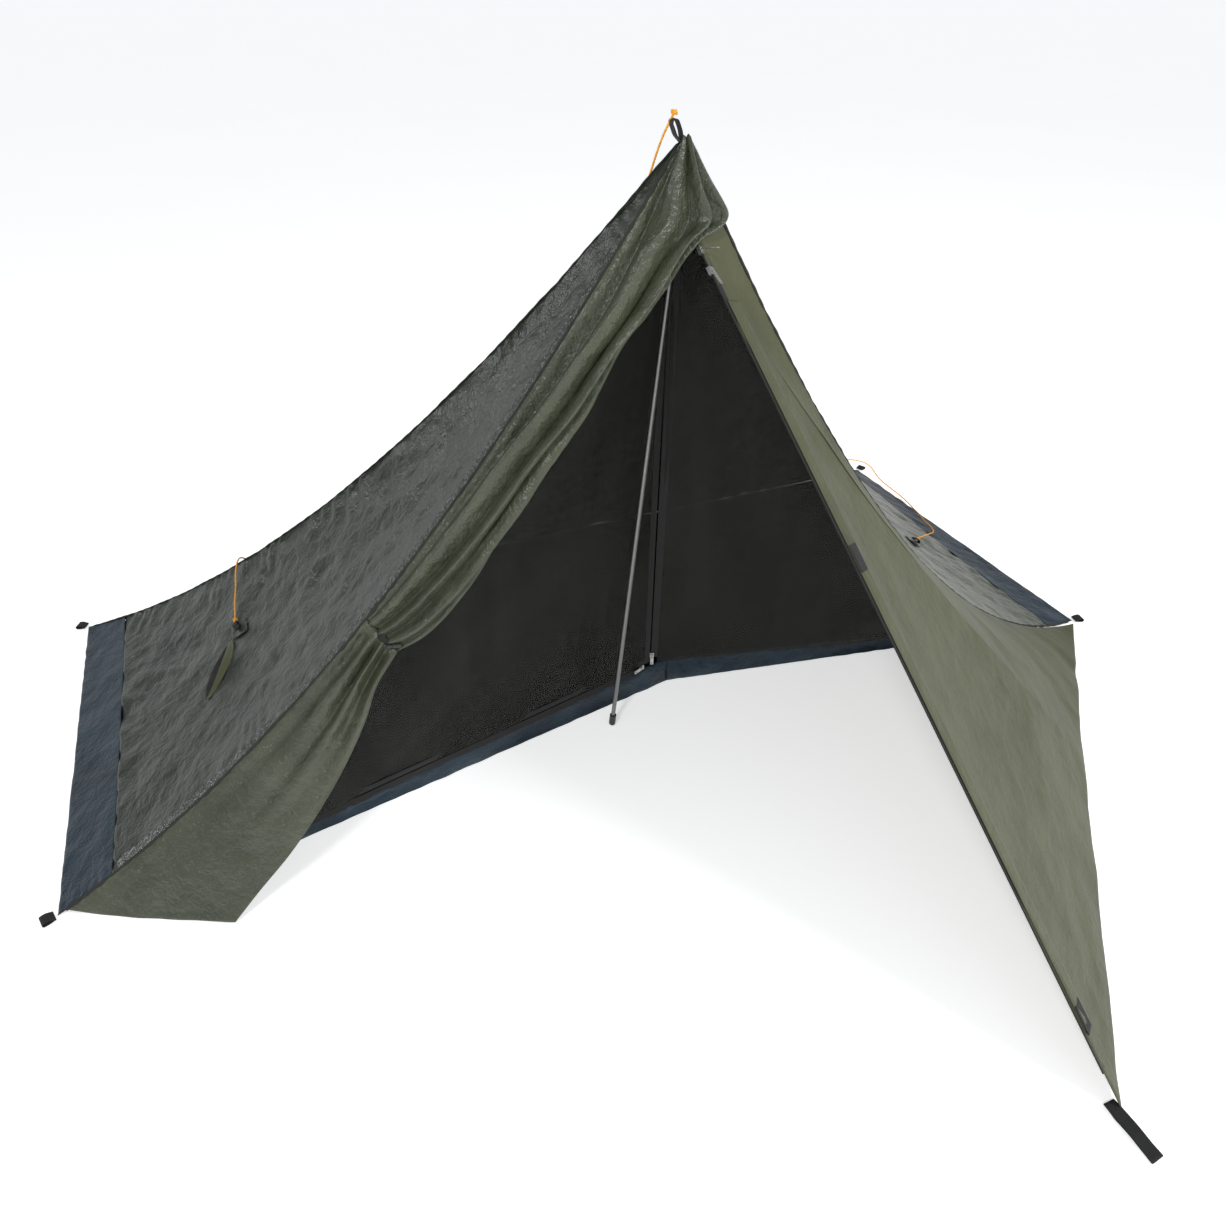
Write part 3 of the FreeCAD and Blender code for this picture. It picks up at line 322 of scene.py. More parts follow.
def coated_nylon(name, dark, light, rough, shine, crinkle=0.5):
    """Thin coated cloth: fine weave, flat facets between sharp creases, and a soft uneven sheen."""
    material, tree, shader = new_material(name)
    patches = texture(tree, "ShaderNodeTexNoise", 7.0, Detail=6.0, Roughness=0.65)
    grain = texture(tree, "ShaderNodeTexNoise", 300.0, Detail=3.0, Roughness=0.7)
    weave = texture(tree, "ShaderNodeTexWave", 420.0, Distortion=1.5)
    wander = warped(tree, 6.0, 0.09)
    facets = tree.nodes.new("ShaderNodeTexVoronoi")
    facets.inputs["Scale"].default_value = 12.0
    tree.links.new(wander, facets.inputs["Vector"])
    colour = ramp(tree, patches.outputs["Fac"], [(0.3, dark), (0.72, light)])
    tree.links.new(colour, shader.inputs["Base Color"])
    sheen = ramp(tree, grain.outputs["Fac"], [(0.2, (rough[0],)), (0.8, (rough[1],))])
    tree.links.new(sheen, shader.inputs["Roughness"])
    shader.inputs["Specular IOR Level"].default_value = shine
    bump(tree, shader, [
        (facets.outputs["Distance"], crinkle * 0.25, 0.03),
        (patches.outputs["Fac"], crinkle, 0.03),
        (crease_lines(tree, wander, 9.0, 0.012), crinkle * 0.35, 0.002),
        (crease_lines(tree, wander, 26.0, 0.02), crinkle * 0.3, 0.001),
        (grain.outputs["Fac"], 0.2, 0.001),
        (weave.outputs["Fac"], 0.1, 0.0003),
    ])
    return material


def insect_mesh(name):
    """Fine black netting, seen through in part, thicker where its threads bunch."""
    material, tree, shader = new_material(name)
    cloud = tree.nodes.new("ShaderNodeTexNoise")
    cloud.inputs["Scale"].default_value = 1.0
    cloud.inputs["Detail"].default_value = 6.0
    place = tree.nodes.new("ShaderNodeTexCoord")
    stretch = tree.nodes.new("ShaderNodeMapping")
    stretch.inputs["Scale"].default_value = (16, 16, 2.2)
    tree.links.new(place.outputs["Object"], stretch.inputs["Vector"])
    tree.links.new(stretch.outputs[0], cloud.inputs["Vector"])
    net = texture(tree, "ShaderNodeTexNoise", 420.0, Detail=2.0, Roughness=0.8)
    colour = ramp(tree, net.outputs["Fac"], [(0.3, (0.004, 0.004, 0.004)), (0.72, (0.036, 0.037, 0.032))])
    tree.links.new(colour, shader.inputs["Base Color"])
    cover = ramp(tree, cloud.outputs["Fac"], [(0.35, (0.5,)), (0.68, (0.84,))])
    tree.links.new(cover, shader.inputs["Alpha"])
    shader.inputs["Roughness"].default_value = 0.75
    shader.inputs["Specular IOR Level"].default_value = 0.2
    bump(tree, shader, [(net.outputs["Fac"], 0.3, 0.0008)])
    return material


def webbing(name, dark, light):
    material, tree, shader = new_material(name)
    ribs = texture(tree, "ShaderNodeTexWave", 330.0, Distortion=0.4)
    fibre = texture(tree, "ShaderNodeTexNoise", 900.0, Detail=2.0)
    colour = ramp(tree, fibre.outputs["Fac"], [(0.3, dark), (0.75, light)])
    tree.links.new(colour, shader.inputs["Base Color"])
    shader.inputs["Roughness"].default_value = 0.8
    bump(tree, shader, [(ribs.outputs["Fac"], 0.6, 0.0006), (fibre.outputs["Fac"], 0.3, 0.0003)])
    return material


def sealed_tape(name):
    """Glossy heat-sealed tape over a black stitched seam: small hard glints."""
    material, tree, shader = new_material(name)
    cells = texture(tree, "ShaderNodeTexVoronoi", 150.0, feature="F1", Randomness=1.0)
    grain = texture(tree, "ShaderNodeTexNoise", 300.0, Detail=3.0)
    colour = ramp(tree, grain.outputs["Fac"], [(0.35, (0.012, 0.014, 0.011)), (0.7, (0.06, 0.065, 0.05))])
    tree.links.new(colour, shader.inputs["Base Color"])
    shader.inputs["Roughness"].default_value = 0.14
    shader.inputs["Specular IOR Level"].default_value = 0.9
    bump(tree, shader, [(cells.outputs["Distance"], 1.0, 0.006), (grain.outputs["Fac"], 0.5, 0.002)])
    return material


def metal(name, dark, light, rough):
    material, tree, shader = new_material(name)
    wear = texture(tree, "ShaderNodeTexNoise", 380.0, Detail=4.0, Roughness=0.7)
    tree.links.new(ramp(tree, wear.outputs["Fac"], [(0.3, dark), (0.7, light)]), shader.inputs["Base Color"])
    tree.links.new(
        ramp(tree, wear.outputs["Fac"], [(0.3, (rough + 0.12,)), (0.7, (rough,))]), shader.inputs["Roughness"])
    shader.inputs["Metallic"].default_value = 1.0
    bump(tree, shader, [(wear.outputs["Fac"], 0.15, 0.0003)])
    return material


def moulded(name, dark, light):
    material, tree, shader = new_material(name)
    grain = texture(tree, "ShaderNodeTexNoise", 700.0, Detail=3.0)
    tree.links.new(ramp(tree, grain.outputs["Fac"], [(0.3, dark), (0.7, light)]), shader.inputs["Base Color"])
    shader.inputs["Roughness"].default_value = 0.45
    bump(tree, shader, [(grain.outputs["Fac"], 0.2, 0.0003)])
    return material


def braid(name):
    """Orange braided cord with paler flecks."""
    material, tree, shader = new_material(name)
    strands = texture(tree, "ShaderNodeTexVoronoi", 900.0, feature="F1")
    shade = texture(tree, "ShaderNodeTexNoise", 240.0, Detail=2.0)
    colour = ramp(tree, shade.outputs["Fac"], [(0.3, (0.8, 0.28, 0.008)), (0.7, (1.0, 0.5, 0.03))])
    tree.links.new(colour, shader.inputs["Base Color"])
    shader.inputs["Roughness"].default_value = 0.7
    bump(tree, shader, [(strands.outputs["Distance"], 0.8, 0.0008)])
    return material


# One olive cloth in three brightnesses. This copy is darkened as painted shade for the left and back walls and
# the patches.
OLIVE_PAINTED_SHADE = coated_nylon("olive_wall_painted_shade", (0.010, 0.014, 0.008), (0.027, 0.034, 0.021), rough=(0.27, 0.42), shine=0.32)
# The same olive cloth, lightened as painted light for the lit right flap, the storm flap and the vent hood.
OLIVE_PAINTED_LIGHT = coated_nylon(
    "olive_flap_painted_light", (0.066, 0.070, 0.034), (0.1, 0.104, 0.055), rough=(0.45, 0.6), shine=0.25, crinkle=0.3)
# The same olive cloth at a middle painted brightness, between the painted shade and painted light copies, for
# the right wall, left flap and skirt.
OLIVE_PAINTED_HALF_LIGHT = coated_nylon(
    "olive_roll_painted_half_light", (0.038, 0.043, 0.026), (0.078, 0.085, 0.052), rough=(0.27, 0.42), shine=0.5, crinkle=0.7)
NAVY = coated_nylon(
    "navy_floor", (0.008, 0.017, 0.027), (0.028, 0.048, 0.068), rough=(0.4, 0.55), shine=0.25, crinkle=0.7)
BINDING = webbing("olive_binding", (0.012, 0.014, 0.010), (0.03, 0.032, 0.022))
TAPE = sealed_tape("seam_tape")
NETTING = insect_mesh("black_mesh")
BLACK_WEB = webbing("black_webbing", (0.006, 0.006, 0.006), (0.022, 0.022, 0.022))
ZIP_TAPE = webbing("zip_tape", (0.006, 0.006, 0.006), (0.018, 0.018, 0.017))
ZIP_METAL = metal("zip_metal", (0.3, 0.3, 0.3), (0.62, 0.62, 0.6), 0.25)
PLASTIC = moulded("black_plastic", (0.012, 0.012, 0.012), (0.03, 0.03, 0.03))
POLE_METAL = metal("pole_alloy", (0.16, 0.16, 0.155), (0.26, 0.26, 0.25), 0.35)
CORD = braid("orange_cord")
SHOCK = webbing("shock_cord", (0.01, 0.01, 0.01), (0.05, 0.05, 0.05))


# ---- walls, bands and floor --------------------------------------------------------------------
def edge_fade(v, share=0.04):
    return smooth(v / share) * smooth((1 - v) / share)


def wrinkled(p, seed, amplitude, wave, pucker=0.003):
    """Crumples in the middle of a panel, and short puckers square to its sewn sides."""
    across, down = lengths(p)
    width = across[:, -1:]
    share = across / width
    lift = amplitude * crumple(across, down, seed, wave) * edge_fade(share)
    for side, offset in ((0, across), (1, width - across)):
        beat = down / 0.055 + 1.6 * value_noise(down / 0.09, offset * 0 + side * 3, seed + side)
        strength = np.clip(0.4 + value_noise(down / 0.2, offset * 0 + 7 * side, seed + 5), 0, 1)
        lift += pucker * strength * np.sin(beat * 2 * math.pi) * np.exp(-offset / 0.05) * smooth(offset / 0.008)
    return lift


left_wall_at = hung(left_hip, left_seam, WALL_BELLY)
right_wall_at = hung(right_seam, right_hip, WALL_BELLY)
back_wall_at = hung(right_hip, left_hip, BACK_BELLY)
TOP_SHARE = 0.002

# The walls use different copies of the one olive: painted shade on the left and back walls, the middle painted
# brightness on the right wall.
for wall_name, point, columns, seed, finish in (
    ("left_wall", left_wall_at, 210, 3, OLIVE_PAINTED_SHADE),
    ("right_wall", right_wall_at, 150, 11, OLIVE_PAINTED_HALF_LIGHT),
    ("back_wall", back_wall_at, 230, 19, OLIVE_PAINTED_SHADE),
):
    p = point(*shares(300, columns, TOP_SHARE, BAND_SHARE))
    lift = wrinkled(p, seed, 0.004, 0.085)
    across, down = lengths(p)
    lift += 0.0013 * crumple(across, down, seed + 50, 0.038, count=16) * edge_fade(across / across[:, -1:])
    cloth(wall_name + "_cloth", p, lift, finish, "olive_nylon", "tent", [wall_name])

for band_name, point, columns, seed in (
    ("floor_band_left", left_wall_at, 110, 5),
    ("floor_band_right", right_wall_at, 110, 6),
    ("floor_band_back", back_wall_at, 220, 8),
):
    p = point(*shares(22, columns, BAND_SHARE, 0.9985))
    lift = wrinkled(p, seed, 0.0024, 0.05, pucker=0.0015)
    cloth(band_name + "_cloth", p, lift, NAVY, "navy_floor", "tent", [band_name])

FLOOR_EDGE = [
    CORNER_A + [0.003, 0.016, 0], SILL_LEFT, SILL_BEND, SILL_CORNER, SILL_RIGHT, CORNER_D + [-0.003, 0.016, 0],
]


def front_edge(x):
    return np.interp(x, [c[0] for c in FLOOR_EDGE], [c[1] for c in FLOOR_EDGE])


u, v = shares(70, 170)
x = (v * 2 - 1) * (HALF_LENGTH - FLOOR_INSET)
front = front_edge(x) + FLOOR_INSET
floor = np.stack([x, front + (BACK_Y - FLOOR_INSET - front) * (1 - u), np.zeros_like(x)], axis=-1)
lift = 0.0012 + 0.002 * np.abs(crumple(floor[..., 0], floor[..., 1], 23, 0.11))
cloth("floor_cloth", floor[::-1], lift, NAVY, "navy_floor", "tent", ["floor_sheet"])


def sill_top(foot, height):
    rise = height - GROUND
    return foot + np.array([0, SILL_LEAN * rise, rise])


SILL_CORNER_TOP = sill_top(SILL_CORNER, SILL_HEIGHT_CORNER)
SILL_BEND_TOP = sill_top(SILL_BEND, SILL_HEIGHT_BEND)
SILL_LEFT_TOP = sill_top(SILL_LEFT, SILL_HEIGHT_LEFT)
SILL_RIGHT_TOP = sill_top(SILL_RIGHT, SILL_HEIGHT_RIGHT)
u, v = shares(14, 50)
end_part = hung(line(SILL_LEFT_TOP, SILL_LEFT), line(SILL_BEND_TOP, SILL_BEND))(u, v)
u, v = shares(14, 150)
long_part = hung(line(SILL_BEND_TOP, SILL_BEND), line(SILL_CORNER_TOP, SILL_CORNER))(u, v)
right_part = hung(line(SILL_CORNER_TOP, SILL_CORNER), line(SILL_RIGHT_TOP, SILL_RIGHT))(u, v)
for sill_name, p, seed in (
    ("front_sill_left", np.concatenate([end_part[:, :-1], long_part], axis=1), 29),
    ("front_sill_right", right_part, 31),
):
    across, down = lengths(p)
    rise = down / down[-1:]
    lift = wrinkled(p, seed, 0.0028, 0.04, pucker=0)
    lift += 0.007 * value_noise(across / 0.16, rise * 1.2, seed) * np.sin(math.pi * rise) ** 0.6
    cloth(sill_name + "_cloth", p, lift, NAVY, "navy_floor", "tent", [sill_name])

# ---- mesh front wall ---------------------------------------------------------------------------
sill_run = SILL_CORNER_TOP - SILL_BEND_TOP
sill_out = unit(np.array([0, -1, SILL_LEAN]))
over_sill = np.array([0, 0, 0.0065]) + sill_out * 0.0019
MESH_CORNER = SILL_CORNER_TOP - unit(sill_run) * 0.04 + over_sill
MESH_FAR = SILL_BEND_TOP + unit(sill_run) * 0.012 + over_sill
MESH_LEFT_END = SILL_LEFT_TOP + over_sill


def part_of(seam, start, end):
    return lambda t: seam(start + (end - start) * np.asarray(t))


def draped_mesh(p, seed, depth=0.004):
    across, down = lengths(p)
    folds = value_noise(across / 0.07 + 0.4 * value_noise(down / 0.3, across / 0.3, seed), down / 0.6, seed)
    lift = depth * folds + 0.0012 * crumple(across, down, seed, 0.09)
    return lift * edge_fade(across / across[:, -1:], 0.06)


p = hung(line(MESH_START, MESH_CORNER), part_of(right_seam, 0.05, 0.945))(*shares(110, 110, 0, 1, 0.012, 1))
cloth("mesh_wall_right_cloth", p, draped_mesh(p, 41), NETTING, "black_mesh", "tent",
      ["mesh_wall_right"], THIN_CLOTH)

mesh_fold = line(MESH_START, MESH_FAR)
strip_part = hung(part_of(left_seam, 0.05, 0.66), mesh_fold)(*shares(110, 16, 0, 0.995, 0, 0.97))
door_part = hung(mesh_fold, line(MESH_START, MESH_CORNER))(*shares(110, 90, 0, 0.995, 0.0, 0.985))
p = np.concatenate([strip_part, door_part], axis=1)
lift = draped_mesh(p, 43)
across, down = lengths(p)
door_edge = smooth((across[:, -1:] - across) / 0.05)
shape = p + grid_normals(p) * (lift * door_edge)[..., None]
mesh_left = thicken(grid_object("mesh_door_cloth", shape), THIN_CLOTH)
mesh_left.data.materials.append(NETTING)
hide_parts("mesh_door_panel")
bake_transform(mesh_left)

p = hung(part_of(left_seam, 0.66, 0.925), line(MESH_FAR, MESH_LEFT_END))(*shares(40, 26, 0, 0.99, 0, 1))
cloth("mesh_wall_left_cloth", p, draped_mesh(p, 47, 0.001), NETTING, "black_mesh", "tent",
      ["mesh_wall_left"], THIN_CLOTH)

# ---- left flap, gathered back to the tie, and its skirt ----------------------------------------
def front_point(x, y, z):
    return [x, FRONT_Y + y, z]


TIE_SHARE = 0.475
FLAP_EDGE = [
    front_point(0.002, -0.004, 1.098), front_point(0.012, -0.012, 1.078), front_point(0.032, -0.022, 1.045),
    front_point(0.062, -0.024, 0.998),
    front_point(0.012, -0.036, 0.975), front_point(-0.047, -0.045, 0.913), front_point(-0.114, -0.05, 0.845),
    front_point(-0.165, -0.05, 0.765), front_point(-0.227, -0.05, 0.692), front_point(-0.314, -0.05, 0.567),
    front_point(-0.381, -0.048, 0.479), front_point(-0.45, -0.045, 0.42), front_point(-0.487, -0.04, 0.403),
]


def flap_point(s, v):
    """From the seam (v = 0) over soft lengthwise folds to a free edge that curls under (v = 1)."""
    seam = left_seam(0.001 + (TIE_SHARE - 0.001) * s)
    edge = through(FLAP_EDGE, s)
    p = mix(seam, edge, v)
    body = np.sin(math.pi * np.clip(s, 0, 1) ** 0.8) ** 0.7
    puff = 0.004 + 0.032 * body
    p[..., 1] -= puff * np.sin(math.pi * np.clip(v, 0, 1)) ** 0.8
    return p, body


u, v = shares(230, 110)
p, body = flap_point(u, v)
across, down = lengths(p)
drift = 0.16 * value_noise(u * 3.2, v * 1.5, 53)
pleats = np.abs(((v + drift) * 3.1 + 0.6 * u) % 1 - 0.5) * 4 - 1
pleats = np.sign(pleats) * np.abs(pleats) ** 0.8
lift = (0.005 + 0.009 * body) * pleats * smooth(v / 0.1) * smooth((1 - v) / 0.12)
lift += 0.0035 * crumple(across, down, 59, 0.075, count=16) * smooth(v / 0.05)
cloth("left_flap_cloth", p, lift, OLIVE_PAINTED_HALF_LIGHT, "olive_nylon", "tent",
      ["left_flap_roll", "peak_front_panel", "peak_cap"])

SKIRT_EDGE = [
    front_point(-0.487, -0.04, 0.403), front_point(-0.53, -0.06, 0.36), front_point(-0.556, -0.07, 0.31),
    front_point(-0.604, -0.089, 0.24), front_point(-0.645, -0.101, 0.189), front_point(-0.714, -0.114, 0.112),
    front_point(-0.784, -0.121, 0.045), front_point(-0.827, -0.128, 0.004),
]
SKIRT_HEM = [
    front_point(-1.083, -0.004, 0.012), front_point(-1.042, -0.021, 0.003), front_point(-0.984, -0.053, 0.003),
    front_point(-0.885, -0.1, 0.003), front_point(-0.827, -0.128, 0.004),
]
u, v = shares(130, 90)
seam = left_seam(TIE_SHARE + (0.985 - TIE_SHARE) * u)
edge = through(SKIRT_EDGE, u)
p = mix(seam, edge, v)
straight = mix(np.array(SKIRT_HEM[0]), np.array(SKIRT_HEM[-1]), v)
p = p + (through(SKIRT_HEM, v) - straight) * (u ** 4)[..., None]
p[..., 1] -= 0.02 * np.sin(math.pi * v) * np.sin(math.pi * u ** 0.6)
across, down = lengths(p)
rays = np.cos(2 * math.pi * (v * 3.2 + 0.25 * value_noise(u * 3, v * 3, 61)))
lift = 0.009 * rays * (1 - smooth(u / 0.75)) * smooth(u / 0.04) * edge_fade(v, 0.1)
lift += 0.0026 * crumple(across, down, 67, 0.1) * edge_fade(v, 0.03)
cloth("left_skirt_cloth", p, lift, OLIVE_PAINTED_HALF_LIGHT, "olive_nylon", "tent", ["left_flap_skirt"])

# ---- right flap: one sheet over the fold line --------------------------------------------------
HEM_START = CORNER_D + np.array([0, -0.004, 0.003])


def hem_right(t):
    t = np.asarray(t, float)
    p = mix(HEM_START, STAKE, t)
    return p + HEM_BOW * (4 * t * (1 - t))[..., None]


FOLD_FOOT = hem_right(FOLD_SHARE)
ZIP_WAY = unit(STAKE - ZIP_START)
FLAP_OUT = unit(np.cross(STAKE - ZIP_START, FOLD_FOOT - ZIP_START))
FLAP_OUT = FLAP_OUT * (-1 if FLAP_OUT[2] < 0 else 1)
ZIP_ACROSS = np.cross(FLAP_OUT, ZIP_WAY)
ZIP_LENGTH = float(np.linalg.norm(STAKE - ZIP_START))

u, v = shares(200, 60, 0, FLAP_END)
top = mix(ZIP_START, FOLD_FOOT, u)
seam = right_seam(0.012 + (0.985 - 0.012) * u)
fixed = mix(top, seam, v)
hem_line = hem_right(FOLD_SHARE * (1 - v * 0.97))
straight = mix(FOLD_FOOT, right_seam(0.985), v)
fixed = fixed + (hem_line - straight) * (u ** 3)[..., None]
u, w = shares(200, 60, 0, FLAP_END)
near = ZIP_START + (STAKE - ZIP_START) * u[..., None]
near = near + ZIP_ACROSS * 0.0025
corner = mix(near, mix(ZIP_START, FOLD_FOOT, u), w)
p = np.concatenate([corner, fixed[:, 1:]], axis=1)
across, down = lengths(p)
share = across / across[:, -1:]
fall = down / down[-1:]
lift = 0.002 * crumple(across, down, 71, 0.09)
lift = lift + 0.0025 * crumple(across, down, 73, 0.2, heading=0.1, spread=0.5)
lift *= edge_fade(share, 0.03)
lift -= 0.026 * np.sin(math.pi * share) * np.clip(np.sin(math.pi * np.clip(fall / 0.85, 0, 1)), 0, 1)
outward = grid_normals(p)
outward *= np.sign(outward @ FLAP_OUT)[..., None]
right_flap = thicken(grid_object("right_flap_cloth", p + outward * lift[..., None]), CLOTH)
right_flap.data.materials.append(OLIVE_PAINTED_LIGHT)
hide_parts("right_flap_fixed", "right_flap_corner")
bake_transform(right_flap)


def beside_zip(distance, across, lift):
    return (ZIP_START + ZIP_WAY * distance[..., None] + ZIP_ACROSS * across[..., None]
            + FLAP_OUT * lift[..., None])


u, v = shares(220, 14)
distance = STORM_START + (ZIP_LENGTH - STORM_FOOT_GAP - STORM_START) * u
p = beside_zip(distance, 0.0053 + STORM_WIDTH * v, np.full_like(u, 0.0016))
lift = (0.0012 + 0.0012 * crumple(distance, v * STORM_WIDTH, 79, 0.06)) * edge_fade(v, 0.2)
cloth("storm_flap_cloth", p, np.maximum(lift, 0), OLIVE_PAINTED_LIGHT, "olive_nylon", "right_door", ["storm_flap"])


# ---- bindings along the seams ------------------------------------------------------------------
def edge_binding(name, seam, stands_for, start=0.01, end=0.985, half_width=0.0028, half_depth=0.0015):
    """A narrow tape folded over a seam and sewn down, with a slight pucker at each few stitches."""
    share = np.linspace(start, end, 420)
    centre = seam(share)
    heading = unit(np.gradient(centre, axis=0))
    outward = unit(np.array([math.copysign(0.7, centre[-1, 0]), math.copysign(0.7, centre[-1, 1]), 0.0]))
    side = unit(np.cross(heading, outward))
    out = np.cross(side, heading)
    travel = np.concatenate([[0], np.cumsum(np.linalg.norm(np.diff(centre, axis=0), axis=1))])
    pucker = 1 + 0.18 * np.sin(travel / 0.0042) + 0.22 * value_noise(travel / 0.02, travel * 0, 83)
    wander = 0.0007 * value_noise(travel / 0.05, travel * 0 + 3, 89)
    turn = np.linspace(0, 2 * math.pi, 13)[:-1]
    ring = (side[:, None] * np.cos(turn)[None, :, None] * half_width
            + out[:, None] * np.sin(turn)[None, :, None] * half_depth)
    p = centre[:, None] + ring * pucker[:, None, None] + out[:, None] * wander[:, None, None]
    p[..., 2] = np.maximum(p[..., 2], 0.0004)
    piece = grid_object(name, p, closed=True)
    bm = bmesh.new()
    bm.from_mesh(piece.data)
    bmesh.ops.holes_fill(bm, edges=[e for e in bm.edges if e.is_boundary])
    bmesh.ops.recalc_face_normals(bm, faces=bm.faces)
    bm.to_mesh(piece.data)
    bm.free()
    return dress(piece, BINDING, "olive_binding", "tent", *stands_for)


edge_binding("left_seam_tape_edge", left_seam, ["left_seam_binding"])
edge_binding("right_seam_tape_edge", right_seam, ["right_seam_binding"])
edge_binding("left_hip_tape_edge", left_hip, ["hip_bindings"])
edge_binding("right_hip_tape_edge", right_hip, ["hip_bindings"])

u, v = shares(260, 10, 0.075, 0.9, 0, 1)
wide = np.linalg.norm(left_wall_at(u, v * 0 + 1) - left_wall_at(u, v * 0), axis=-1)
p = left_wall_at(u, 1 - (0.003 + 0.022 * (1 - v)) / wide)
across, down = lengths(p)
lift = 0.0014 + 0.0009 * np.abs(crumple(across, down, 97, 0.02, count=8))
cloth("left_seam_tape_strip", p, lift, TAPE, "seam_tape", "tent", ["left_seam_tape"],
      THIN_CLOTH)


# ---- webbing loops -----------------------------------------------------------------------------
def frame_of(along, out):
    along = unit(np.asarray(along, float))
    across = unit(np.cross(out, along))
    return along, across, np.cross(along, across)


def web_loop(name, base, along, out, length, inner, width, body, twist=0.0, stands_for=()):
    """Flat webbing doubled into a loop: out from its stitching, round and back."""
    along, across, out = frame_of(along, np.asarray(out, float))
    radius = inner / 2 + 0.0006
    straight = length - 2 * radius - 0.0012
    bend = np.linspace(-math.pi / 2, math.pi / 2, 15)
    x = np.concatenate([np.linspace(0, straight, 18), straight + radius * np.cos(bend[1:-1]),
                        np.linspace(straight, 0, 18)])
    z = np.concatenate([np.full(18, -radius), radius * np.sin(bend[1:-1]), np.full(18, radius)])
    pinch = smooth(x / (0.45 * length))
    z = z * (0.25 + 0.75 * pinch) + 0.0006 * np.sin(x / 0.006)
    angle = twist * x / length
    middle = base + out * (radius + 0.0012)
    w = np.linspace(-0.5, 0.5, 7) * width
    turned = across[None] * np.cos(angle)[:, None] + out[None] * np.sin(angle)[:, None]
    lifted = out[None] * np.cos(angle)[:, None] - across[None] * np.sin(angle)[:, None]
    spine = middle + along * (x[:, None] + 0.0006) + lifted * z[:, None]
    p = spine[:, None] + turned[:, None] * w[None, :, None]
    p[..., 2] = np.maximum(p[..., 2], 0.0007)
    piece = thicken(grid_object(name, p), 0.0011)
    return dress(piece, BLACK_WEB, "black_webbing", body, *stands_for)


LOOP_GAP = 0.0015
for corner_name, corner, heading in (
    ("front_left", CORNER_A, (-1, -0.35, 0)), ("front_right", CORNER_D, (1, -0.2, 0)),
    ("back_left", CORNER_B, (-1, 0.45, 0)), ("back_right", CORNER_C, (1, 0.45, 0)),
):
    base = np.array([corner[0], corner[1], 0]) + unit(np.array(heading, float)) * LOOP_GAP
    web_loop("loop_" + corner_name, base, heading, (0, 0, 1), 0.026, 0.006, 0.02, "tent",
             stands_for=["webbing_loop_" + corner_name])
web_loop("loop_peak", PEAK + np.array([0.003, 0.001, -0.008]), (-0.55, 0, 1), (-1, 0, -0.5),
         0.039, 0.008, 0.014, "tent", stands_for=["webbing_loop_peak"])
stake_way = np.array([0.0, -1.0, 0.0])
web_loop("loop_stake", np.array([STAKE[0], STAKE[1], 0]) - ZIP_WAY * [0.03, 0.03, 0], stake_way, (0, 0, 1),
         0.086, 0.006, 0.018, "right_door", twist=0.8, stands_for=["webbing_loop_stake"])


def wall_frame(point, share, across_share, heading):
    centre = point(np.array(share), np.array(across_share))
    down = point(np.array(share + 0.01), np.array(across_share)) - centre
    sideways = point(np.array(share), np.array(across_share + 0.01)) - centre
    normal = unit(np.cross(down, sideways))
    along, _, out = frame_of(heading, normal)
    return centre, along, out


def patch(name, point, share, across_share, half, stands_for=()):
    wide = np.linalg.norm(point(np.array(share), np.array(1.0)) - point(np.array(share), np.array(0.0)))
    tall = np.linalg.norm(point(np.array(share + 0.02), np.array(across_share))
                          - point(np.array(share), np.array(across_share))) / 0.02
    u, v = shares(26, 26, -1, 1, -1, 1)
    p = point(share + u * half / tall, across_share + v * half / wide)
    across, down = lengths(p)
    lift = 0.0026 + 0.0007 * crumple(across, down, 101, 0.02)
    cloth(name, p, lift, OLIVE_PAINTED_SHADE, "olive_nylon", "tent", stands_for)


for side, point, share, across_share, heading in (
    ("left", left_wall_at, 0.667, 0.36, (-0.15, 1, 0)), ("right", right_wall_at, 0.76, 0.48, (0.9, -0.2, -0.5))
):
    patch(side + "_pullout_patch", point, share, across_share, 0.022, ["pullout_patches"])
    centre, along, out = wall_frame(point, share, across_share, heading)
    base = centre + out * 0.0028 - along * 0.006
    web_loop(side + "_loop_pullout", base, along, out, 0.026, 0.006, 0.012, "tent",
             stands_for=[side + "_pullout_loop"])

# ---- vent: a leaf of mesh under a short hood ---------------------------------------------------
u, v = shares(12, 40, -1, 1)
leaf = 0.0165 * np.sin(math.pi * np.clip(v, 0.03, 0.97)) ** 0.7
p = left_wall_at(0.688 + u * leaf + 0.05 * v, 0.40 + 0.2 * v)
cloth("left_vent_leaf", p, 0.0024 + 0.0 * u, NETTING, "black_mesh", "tent", ["left_vent_mesh"],
      THIN_CLOTH)
u, v = shares(8, 44)
leaf = 0.0175 * np.sin(math.pi * np.clip(v, 0.02, 0.98)) ** 0.7
p = left_wall_at(0.684 - leaf + 0.009 * u + 0.05 * v, 0.395 + 0.21 * v)
lift = 0.0022 + 0.009 * smooth(u) * np.sin(math.pi * v)
cloth("left_vent_hood", p, lift, OLIVE_PAINTED_LIGHT, "olive_nylon", "tent", [])

# ---- tie round the gathered flap ---------------------------------------------------------------
tie_low, tie_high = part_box("left_flap_tie")
tie_centre = (np.array(tie_low) + np.array(tie_high)) / 2
turn = np.linspace(0, 2 * math.pi, 49)[:-1]
neck_way = unit(np.array([-0.72, 0.05, -0.69]))
neck_side, _, neck_out = frame_of(np.cross(neck_way, (0, -1, 0)), (0, -1, 0))
rows = []
for k in np.linspace(-0.5, 0.5, 5):
    shake = 1 + 0.06 * np.sin(3 * turn + 1) + 0.04 * np.sin(5 * turn)
    ring = (neck_side[None] * np.cos(turn)[:, None] * 0.0185 + neck_out[None] * np.sin(turn)[:, None] * 0.0128)
    rows.append(tie_centre + ring * shake[:, None] + neck_way * k * 0.01)
tie = thicken(grid_object("flap_tie_band", np.stack(rows), closed=True), 0.0011)
dress(tie, BLACK_WEB, "black_webbing", "tent", "left_flap_tie")


